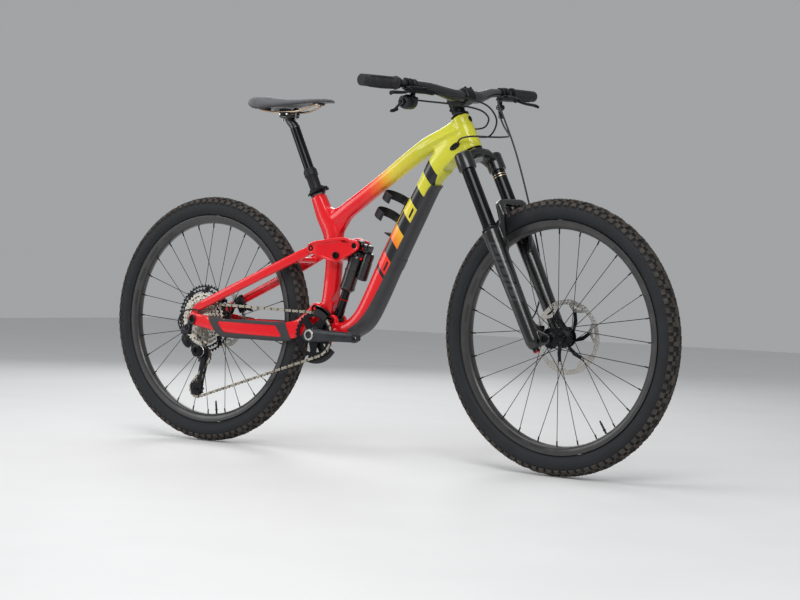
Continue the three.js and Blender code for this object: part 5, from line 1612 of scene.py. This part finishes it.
def fork_lowers():
    tools = Form(steered)
    form = Form(steered)
    for s in (1, -1):
        form.add(spindle(at_leg(s, -14), UP, [
            (0, 8), (1, 12), (8, 17), (18, 20.6), (90, 21.4), (180, 22.4), (262, 24.4), (334, 25.6),
            (346, 26), (349, 25)], 40))
        form.add(slab([wrapped([((FORK_OFFSET, 0), 14), ((8, -2), 11), ((8, 40), 11)], 40)],
                      s * 55.6, s * 67, 2))
        form.add(slab([[(14, 262), (30, 266), (58, 350), (63, 372), (62, 396), (46, 396), (38, 350),
                        (18, 330)]],
                      s * 47, s * 66, 4))
        tools.add(pin((FORK_OFFSET, 0), s * 40, s * 90, 7.9, 24, 0.1))
        tools.add(rod((8, s * 69, 335.6), (8, s * 69, 360), 19.6, edge=0.1))
    arch = [(-64, 352), (-64, 386), (-62, 394), (-56, 401), (-46, 404.6), (-34, 405), (34, 405),
            (46, 404.6), (56, 401), (62, 394), (64, 386), (64, 352), (48, 352), (46.4, 372),
            (42, 382), (34, 387), (-34, 387), (-42, 382), (-46.4, 372), (-48, 352)]
    verts, faces = slab([arch], 44, 63, 3)
    form.add(([(w, u, v) for u, w, v in verts], faces))
    form.make("fork_lowers", "fork_lowers", FORK_SKIN, "black_gloss", 40, fused(2.0, 6, tools, 2))
    trim = Form(steered)
    for s in (1, -1):
        trim.add(spindle(at_leg(s, 334.6), UP, [
            (0, 24.6), (1, 25.2), (4.6, 24), (6.4, 22.2), (7, 19.4)], 40))
    trim.add(spindle(at_leg(-1, -13), (0, 0, -1), [(0, 8.4), (0.6, 9), (8, 9), (9, 7.6)], 24), 2)
    trim.add(spindle(at_leg(-1, -22), (0, 0, -1), [(0, 7.4), (1.6, 7.4), (2.4, 6)], 24), 1)
    trim.add(spindle(at_leg(1, -13), (0, 0, -1), [(0, 8), (0.6, 8.6), (3, 8.6), (4, 7)], 24), 2)
    # clips that hold the front brake hose
    trim.add(block((20, 32), (84, 99), (318, 330), 2), 0)
    trim.make("fork_trim", "fork_lowers", [RUBBER, RED_METAL, METAL], "rubber", node=False)
    axle = Form(steered)
    axle.add(pin((FORK_OFFSET, 0), -70, 70, 7.5))
    axle.add(bolt((FORK_OFFSET, 68.4, 0), (0, 1, 0), 10, 3))
    axle.add(bolt((FORK_OFFSET, -68.4, 0), (0, -1, 0), 10, 3))
    axle.make("front_axle", "fork_lowers", BOLT, "pivot_steel")


fork_upper()
fork_lowers()

# ---------------------------------------------------------------- cockpit
BAR = [
    (40, 0, 730, 17.5), (40, 42, 730, 17.5), (39.5, 60, 731.5, 17), (36, 95, 741, 15),
    (31, 140, 754, 13), (26, 190, 761, 11.4), (20, 255, 765, 11.1), (8, 392, 772, 11.1),
]
LEVER_DROP = rad(-60)


def bar_at(y):
    for a, b in zip(BAR, BAR[1:]):
        if abs(y) <= b[1]:
            break
    t = (abs(y) - a[1]) / (b[1] - a[1])
    return Vector((a[0] + t * (b[0] - a[0]), y, a[2] + t * (b[2] - a[2])))


def ahead(y, f, up=0):
    """A point f in front of the bar and up above it, along the levers' own slope."""
    p = bar_at(y)
    c, s = math.cos(LEVER_DROP), math.sin(LEVER_DROP)
    return Vector((p.x + f * c - up * s, y, p.z + f * s + up * c))


def stem():
    form = Form(steered)
    tools = Form(steered)
    form.add(spindle((0, 0, 706.2), UP, [(0, 18), (1.4, 19.5), (38, 19.5), (39.6, 18)], 40))
    form.add(slab([[(0, 710), (14, 709), (37, 707.5), (37.6, 752), (14, 746), (0, 742)]],
                  -18.6, 18.6, 3))
    tools.add(pin(BAR_MID, -40, 40, 17.9, 48, 0.1))
    tools.add(rod((0, 0, 690), (0, 0, 770), 15, edge=0.1))
    tools.add(slab([[(8, 724), (24, 722), (24, 738), (8, 736)]], -11, 11, 2))
    tools.add(block((-24, -17), (-1, 1), (700, 750), 0.1))
    form.make("stem", "steerer", METAL, "black_metal", 34, carved(tools))
    form = Form(steered)
    form.add(slab([[(39, 707.5), (55, 709.5), (60, 715), (62, 722), (62, 738), (60, 745),
                    (55, 750.5), (39, 752.5)]], -18.6, 18.6, 2.4))
    form.make("stem_faceplate", "steerer", METAL, "black_metal", 34)
    bolts = Form(steered)
    for y in (-12.5, 12.5):
        for z in (712, 748):
            bolts.add(bolt((56.6, y, z), (1, 0, 0), 4, 3))
    for z in (714, 738):
        bolts.add(rod((-14, -14, z), (-14, 14, z), 4.2))
        bolts.add(bolt((-14, -13, z), (0, -1, 0), 4, 2))
    bolts.make("stem_bolts", "steerer", BOLT, "pivot_steel", node=False)


def handlebar():
    form = Form(steered)
    line = [(x, -y, z, r) for x, y, z, r in BAR[:0:-1]] + BAR
    form.add(sweep([p[:3] for p in line], [p[3] for p in line], 32, 8))
    form.make("handlebar", "steerer", BAR_SKIN, "carbon")
    for s, name in ((-1, "right"), (1, "left")):
        grip = Form(steered)
        line = [bar_at(s * y) for y in (263, 392)]
        d = (line[1] - line[0]).normalized()
        profile = [(0, 13), (0.5, 18), (1.5, 18.6), (4, 18.6), (5.4, 16.4)]
        t = 6.0
        while t < 116:
            profile += [(t, 15.4), (t + 0.7, 16.1), (t + 2.7, 16.1), (t + 3.4, 15.4)]
            t += 3.6
        profile += [(119, 15.6), (129, 16), (131, 15), (131.6, 8)]
        grip.add(spindle(line[0], d, profile, 40))
        grip.add(spindle(line[0] - d * 8, d, [(0, 13), (0.8, 15.6), (7, 15.6), (7.8, 14)], 40), 1)
        grip.add(bolt(line[0] - d * 4 + Vector((8, 0, -13)), (0.5, 0, -0.86), 3, 2), 2)
        for k in range(3):
            side = d.orthogonal().normalized()
            around = Matrix.Rotation(k * TAU / 3 + 0.6, 3, d) @ side
            grip.add(sweep([line[0] + d * (14 + k * 8) + around * 15.6,
                            line[0] + d * 60 + around * 16.2,
                            line[0] + d * 106 + around * 15.6], [2.6, 3.4, 2.6], 10))
        grip.make("grip_" + name, "steerer", [GRIP, METAL, BOLT], "rubber")


BAR_SKIN = plain("bar_carbon", srgb(32, 33, 36), 0.38, 0.0, 500, 0.25, 0.05, coat=0.25)


def brakes():
    for s, name in ((-1, "right"), (1, "left")):
        form = Form(steered)
        form.add(spindle(ahead(s * 217, 0), (0, s, 0), [(0, 16), (1, 17), (13, 17), (14, 16)], 40))
        form.add(sweep([ahead(s * 224, 8), ahead(s * 224, 18), ahead(s * 222, 28)], [7, 6.4, 8], 20))
        line = [ahead(s * 148, 30), ahead(s * 152, 30), ahead(s * 180, 29.6), ahead(s * 196, 29),
                ahead(s * 222, 28), ahead(s * 236, 28), ahead(s * 246, 29)]
        form.add(sweep(line, [5, 7.6, 8.2, 9.4, 9.6, 9, 6], 24, 6, 1.0, (1, 0, 0)))
        form.add(block((-8, 8), (-7, 7), (-6.5, 6.5), 2.4, 3), 0, lambda x, y, z: steered(
            *ahead(s * 243 + y, 31 + x, z)))
        form.add(spindle(ahead(s * 186, 29.5, 7.6), (0.53, 0, 0.85), [
            (0, 7.6), (2.4, 7.6), (3, 6.8), (3.2, 3)], 28), 1)
        form.add(bolt(ahead(s * 217, 13, -11), (0.85, 0, -0.53), 3.2, 3), 2)
        form.add(bolt(ahead(s * 231, 13, -11), (0.85, 0, -0.53), 3.2, 3), 2)
        form.add(sweep([ahead(s * 149, 30), ahead(s * 142, 30.5), ahead(s * 136, 31)],
                       [4.4, 3.8, 2.8], 14))
        form.make("brake_body_" + name, "steerer", [METAL, GREY, BOLT], "black_metal")
        form = Form(steered)
        blade = [ahead(s * 247, 31), ahead(s * 256, 40), ahead(s * 268, 46), ahead(s * 284, 50),
                 ahead(s * 305, 52), ahead(s * 325, 54), ahead(s * 335, 58), ahead(s * 341, 64)]
        form.add(sweep(blade, [5, 4.6, 4.4, 4.6, 5, 5.2, 5.4, 4], 18, 6, 0.7, (1, 0, 0)))
        form.add(rod(ahead(s * 250, 32, -7.4), ahead(s * 250, 32, 7.4), 6))
        form.add(rod(ahead(s * 258, 38, -4), ahead(s * 258, 38, 6), 4), 1)
        form.make("brake_lever_" + name, "brake_lever_" + name, [METAL, BOLT], "black_metal")


def thumb_lever(form, pivot, arm, pad):
    """A short lever with a rubber-topped paddle for the thumb."""
    form.add(sweep(arm, [5, 4.6, 5, 5.4], 18, 5, 0.7))
    form.add(sweep(pad, [4.6, 6.6, 7, 5], 18, 6, 0.62), 1)
    form.add(bolt(pivot, (0, -1 if pivot[1] < 0 else 1, 0), 5, 1.6), 2)


def controls():
    form = Form(steered)
    form.add(rod(bar_at(-196), bar_at(-208), 15.6))
    form.add(sweep([(24, -202, 752), (17, -202, 740), (8, -204, 730)], [7.4, 7, 10], 20))
    pod = Vector((4, -198.6, 720))
    turn = Vector((0, -1, -0.04)).normalized()
    form.add(spindle(pod, turn, [(0, 13), (1.6, 18.4), (6, 20.4), (12, 21), (18, 20.6), (18.6, 19.4),
                                 (19.4, 19.4), (20, 20.8), (34, 20.2), (42, 17.4), (46, 12)], 44))
    form.add(spindle(pod, -turn, [(0, 11), (1.4, 10.6), (2, 8), (2.2, 3)], 36), 1)
    form.add(spindle(pod + turn * 26, Vector((0.8, 0, -0.6)), [(14, 9), (20, 8.6), (21, 7), (21.3, 3)],
                     28), 1)
    form.add(spindle((10, -196, 727), (0.3, 0.93, -0.1), [
        (0, 6), (5, 5.6), (6, 5), (10, 4.6), (11, 3)], 20), 1)
    form.add(sweep([(16, -214, 736), (22, -222, 728), (21, -232, 716)], [5, 6, 5], 18, 6, 0.7), 1)
    form.add(bolt((14, -206, 706.6), (0.4, 0, -0.92), 4, 2), 2)
    form.make("shifter_body", "steerer", [GREY, METAL, BOLT], "grey_metal")
    form = Form(steered)
    form.add(rod((4, -247.4, 718), (4, -253, 718), 9))
    thumb_lever(form, (4, -253, 718),
                [(4, -250, 718), (-6, -252, 713), (-16, -254, 709), (-23, -257, 706)],
                [(-16, -247, 706), (-22, -254, 705.6), (-24, -262, 705), (-25, -268, 705)])
    form.make("shifter_lever", "shifter_lever", [GREY, RUBBER, BOLT], "grey_metal")
    form = Form(steered)
    form.add(rod(bar_at(196), bar_at(206), 15.6))
    form.add(sweep([(22, 201, 752), (15, 201, 740), (8, 201, 730)], [7, 6.4, 8], 18))
    form.add(rod((6, 194, 726), (6, 210, 726), 9, edge=1.5))
    form.add(sweep([(6, 195, 726), (10, 188, 722.5)], [5, 3.4], 16))
    form.make("dropper_remote", "steerer", METAL, "black_metal")
    form = Form(steered)
    form.add(rod((6, 210.6, 726), (6, 216, 726), 8))
    thumb_lever(form, (6, 216, 726),
                [(6, 213, 726), (-4, 219, 722), (-14, 226, 718), (-22, 232, 714)],
                [(-16, 224, 714), (-22, 232, 713), (-24, 240, 712), (-25, 248, 712)])
    form.make("dropper_lever", "dropper_lever", [METAL, RUBBER, BOLT], "black_metal")


stem()
handlebar()
brakes()
controls()

# ---------------------------------------------------------------- hoses and housings
HOSE_R = 2.5
HOSES = {
    "front_brake_hose": ([(46, 144, 729), (52, 128, 712), (62, 112, 660), (64, 104, 560),
                          (52, 100, 440), (34, 98, 330), (4, 101, 215), (-24, 94, 150),
                          (-42, 74, 112), (-45, 46, 92)], None),
    "rear_brake_hose": ([(46, -144, 729), (50, -128, 722), (74, -60, 704), (96, 0, 672),
                         (84, 36, 634), (40, 44, 610)], (-2, 34, 630)),
    "shift_housing": ([(8, -197, 724), (20, -170, 716), (58, -90, 690), (76, -10, 668),
                       (66, 30, 650), (32, 44, 640)], (-8, 32, 656)),
    "dropper_housing": ([(8, 192, 725), (22, 160, 696), (52, 112, 640), (74, 84, 596),
                         (84, 44, 584), (72, 0, 588), (42, -38, 604), (6, -42, 616)],
                        (-20, -35, 613)),
}


def hoses():
    for name, (points, last) in HOSES.items():
        line = [steered(*p) for p in points] + ([head_point(*last)] if last else [])
        form = Form().add(sweep(line, HOSE_R, 14, 12))
        piece = form.make(name, None, HOSE, "hose")
        if last:
            metres(*line[-1])
            metres(*line[1])
            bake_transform(piece)
        else:
            metres(*line[2])
            metres(*line[6])
            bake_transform(piece)


hoses()

# ---------------------------------------------------------------- seat
CLAMP_X = -158


def seat_pieces():
    form = Form()
    tools = Form()
    form.add(spindle(seat_point(-10.6), SEAT_DIR, [
        (0, 22.4), (1, 23.4), (5, 23.4), (6, 22.6), (7, 23.4), (12, 23.4), (13.4, 21.4),
        (17.4, 21.4)], 48))
    form.add(block((-9, 8), (-8, 8), (-6, 6), 2.2, 3), 0,
             lambda x, y, z: seat_point(-3 + z, y, 28 + x))
    tools.add(rod(seat_point(-30), seat_point(30), 17.8, edge=0.1))
    tools.add(block((-12, 12), (-1, 1), (-14, 14), 0.1), 0,
              lambda x, y, z: seat_point(-2.5 + z, y, 28 + x))
    form.make("seat_collar", "frame", METAL, "black_metal", 34, carved(tools))
    form = Form()
    form.add(rod(seat_point(-3, -15, 29), seat_point(-3, 12, 29), 4.6))
    form.add(sweep([seat_point(-3, -13, 30), seat_point(-2, -19, 36), seat_point(-2, -22, 28),
                    seat_point(-3, -24.6, 10), seat_point(-4, -23.6, -10), seat_point(-5, -20, -20)],
                   [6, 6.6, 5.6, 5, 4.6, 3.4], 18, 6, 0.55, (0, 1, 0)))
    form.add(bolt(seat_point(-3, 12, 29), (0, 1, 0), 5, 3), 1)
    form.make("seat_collar_lever", "frame", [METAL, BOLT], "black_metal", node=False)
    form = Form()
    form.add(spindle(seat_point(0), SEAT_DIR, [
        (7.4, 17.4), (47, 17.4), (48, 18), (50, 20), (66, 20.2), (68, 19.4), (68.4, 18.6),
        (70, 18.6), (72.4, 17.6), (73, 16), (73.2, 15.2), (60, 15.2), (7.4, 15.2)], 48, True))
    form.make("dropper_outer_tube", "frame", SATIN, "black_gloss")
    form = Form()
    form.add(spindle(seat_point(-8), SEAT_DIR, [(0, 14), (1, 14.9), (214, 14.9), (224, 14)], 40), 0)
    form.add(sweep([seat_point(204), seat_point(214), (-154, 0, 975), (-157, 0, 984)],
                   [14.9, 14.6, 13.6, 16], 28, 6), 1)
    form.add(tube([(CLAMP_X - 21, 987, 0, 5, 21), (CLAMP_X - 6, 985, 0, 7, 23),
                   (CLAMP_X + 8, 985, 0, 7, 23), (CLAMP_X + 21, 987, 0, 5, 21)], 24, 0.6), 1)
    form.make("dropper_stanchion", "seatpost", [STANCHION, GLOSS], "black_gloss", 40)
    form = Form()
    for s in (-1, 1):
        for end_z, mid_z, h, w in ((995.5, 994.6, 3.4, 7), (1004.6, 1005.6, 3.0, 6.6)):
            grow = 1.4 if h > 3 else 1.0
            form.add(tube([(CLAMP_X - 17, end_z, s * 22, h, w),
                           (CLAMP_X, mid_z, s * 22, h + 0.8, w + grow),
                           (CLAMP_X + 17, end_z, s * 22, h, w)], 20, 0.6), 0)
    for x in (-24, 24):
        form.add(rod((CLAMP_X + x * 0.55, -31, 992), (CLAMP_X + x * 0.55, 31, 992), 3), 1)
    for x in (-25, 25):
        form.add(rod((CLAMP_X + x * 0.9, 0, 972), (CLAMP_X + x, 0, 1008), 2.5), 1)
        form.add(rod((CLAMP_X + x, -7, 1007), (CLAMP_X + x, 7, 1007), 4.6), 0)
    form.make("saddle_clamp", "seatpost", [METAL, STEEL], "black_metal", node=False)
    form = Form()
    ends = [(-243, 38.5, 1008), (-226, 35.2, 1004), (-200, 24.2, 1000), (-120, 22, 1000),
            (-92, 22, 1004), (-52, 16.5, 1017), (-40, 8, 1019.5)]
    for s in (-1, 1):
        form.add(sweep([(x, s * y, z) for x, y, z in ends], RAIL_R, 20, 10))
    form.make("saddle_rails", "seatpost", GOLD, "rail")


RAIL_R = 3.5
SADDLE = [
    (-301, 12, 1032, 1041), (-292, 30, 1026, 1046), (-272, 50, 1020, 1048.5),
    (-245, 66, 1016, 1048), (-215, 70, 1015, 1045), (-190, 60, 1016, 1041), (-150, 42, 1018, 1037.5),
    (-105, 29, 1021, 1036.5), (-60, 23, 1024, 1037), (-25, 21, 1024, 1036.5), (-6, 17, 1024, 1034),
    (2, 9, 1025, 1031),
]
SADDLE_DROOP = 20  # how far the wings hang below the middle


def saddle_ring(x, w, low, top, n=48):
    """A section of the saddle: a crowned top, a rounded edge and wings that hang."""
    ring = []
    mid, half = (low + top) / 2, (top - low) / 2
    for k in range(n):
        a = k * TAU / n
        y = w * power(math.cos(a), 0.6)
        droop = SADDLE_DROOP * math.cos(a) ** 2 * (w / 70) ** 1.6
        channel = 2.4 * math.exp(-(y / 9) ** 2) if math.sin(a) > 0 and -240 < x < -70 else 0
        ring.append((x, y, mid + half * power(math.sin(a), 0.7) - droop - channel))
    return ring


def saddle():
    line = [(SADDLE[0][0] - 2, 5, 1035, 1038)] + SADDLE + [(SADDLE[-1][0] + 3, 4, 1027, 1029)]
    smooth = through([(x, 0, 0, w, low, top) for x, w, low, top in line], 8)
    form = Form().add(loft([saddle_ring(p[0], p[3], p[4], p[5]) for p in smooth]))
    shell = form.make("saddle", "seatpost", COVER, "saddle_cover", 60)
    trim = Form()
    for s in (-1, 1):
        edge = [(p[0], s * (p[3] + 0.1),
                 (p[4] + p[5]) / 2 - SADDLE_DROOP * (p[3] / 70) ** 1.6 - 2.0) for p in smooth[10:-10]]
        trim.add(sweep(edge[::4], 1.0, 8, 4))
    trim.add(block((-262, -238), (-14, 14), (1008.5, 1017), 1.5), 1)
    trim.add(block((-62, -36), (-14, 14), (1018, 1025), 2), 1)
    trim.make("saddle_edge", "seatpost", [PIPING, PLASTIC], "rail", node=False)
    return shell


PIPING = plain("saddle_piping", srgb(30, 30, 32), 0.6, 0.0, 700, 0.15, 0.05)
PLASTIC = plain("saddle_plate", srgb(26, 26, 28), 0.45, 0.0, 700, 0.15, 0.05)
seat_pieces()
saddle()

# ---------------------------------------------------------------- stage, light and camera
def studio():
    """A plain pale floor under an even sky."""
    s = Shader("studio_floor", srgb(226, 226, 226), 0.6)
    mesh = bpy.data.meshes.new("floor")
    mesh.from_pydata([(-9, -9, 0), (9, -9, 0), (9, 9, 0), (-9, 9, 0)], [], [(0, 1, 2, 3)])
    mesh.materials.append(s.finish(s.mix(s.noise(3, 2), srgb(222, 222, 222), srgb(230, 230, 230))))
    floor = bpy.data.objects.new("floor", mesh)
    bpy.context.scene.collection.objects.link(floor)
    world = bpy.data.worlds.new("studio")
    world.use_nodes = True
    sky = world.node_tree.nodes["Background"]
    sky.inputs["Color"].default_value = (0.86, 0.88, 0.9, 1)
    sky.inputs["Strength"].default_value = 0.42
    bpy.context.scene.world = world
    bpy.context.scene.view_settings.view_transform = "Standard"


studio()


def area(name, at, target, size, power_w, color=(1, 1, 1)):
    data = bpy.data.lights.new(name, "AREA")
    data.shape = "RECTANGLE"
    data.size, data.size_y = size
    data.energy = power_w
    data.color = color
    lamp = bpy.data.objects.new(name, data)
    bpy.context.scene.collection.objects.link(lamp)
    lamp.location = at
    lamp.rotation_euler = (Vector(target) - Vector(at)).to_track_quat("-Z", "Y").to_euler()
    return lamp


area("key", (2.6, -3.4, 3.4), (0, 0, 0.6), (2.6, 1.8), 105)
area("top", (-0.6, -0.6, 3.6), (0, 0, 0.5), (3.4, 2.2), 62)
area("back", (-2.6, 2.8, 2.2), (0, 0, 0.6), (2.0, 1.6), 34)
area("side", (-3.4, -2.8, 1.6), (0, 0, 0.5), (1.6, 2.0), 38)


CAMERA_AT = Vector((3.0325, -4.250, 0.543))
CAMERA_YAW = rad(34.71)
CAMERA_PITCH = rad(-0.96)
CAMERA_ROLL = rad(1.87)


def camera():
    data = bpy.data.cameras.new("camera")
    data.lens = 81.72
    data.sensor_width = 36
    data.sensor_fit = "HORIZONTAL"
    data.clip_end = 60
    forward = Vector((
        -math.sin(CAMERA_YAW) * math.cos(CAMERA_PITCH), math.cos(CAMERA_YAW) * math.cos(CAMERA_PITCH),
        math.sin(CAMERA_PITCH),
    ))
    right = forward.cross(Vector((0, 0, 1))).normalized()
    up = right.cross(forward)
    c, s = math.cos(CAMERA_ROLL), math.sin(CAMERA_ROLL)
    side = right * c + up * s
    rise = up * c - right * s
    eye = bpy.data.objects.new("camera", data)
    bpy.context.scene.collection.objects.link(eye)
    turn = Matrix((side, rise, -forward)).transposed().to_4x4()
    eye.matrix_world = Matrix.Translation(CAMERA_AT) @ turn
    bpy.context.scene.camera = eye


camera()
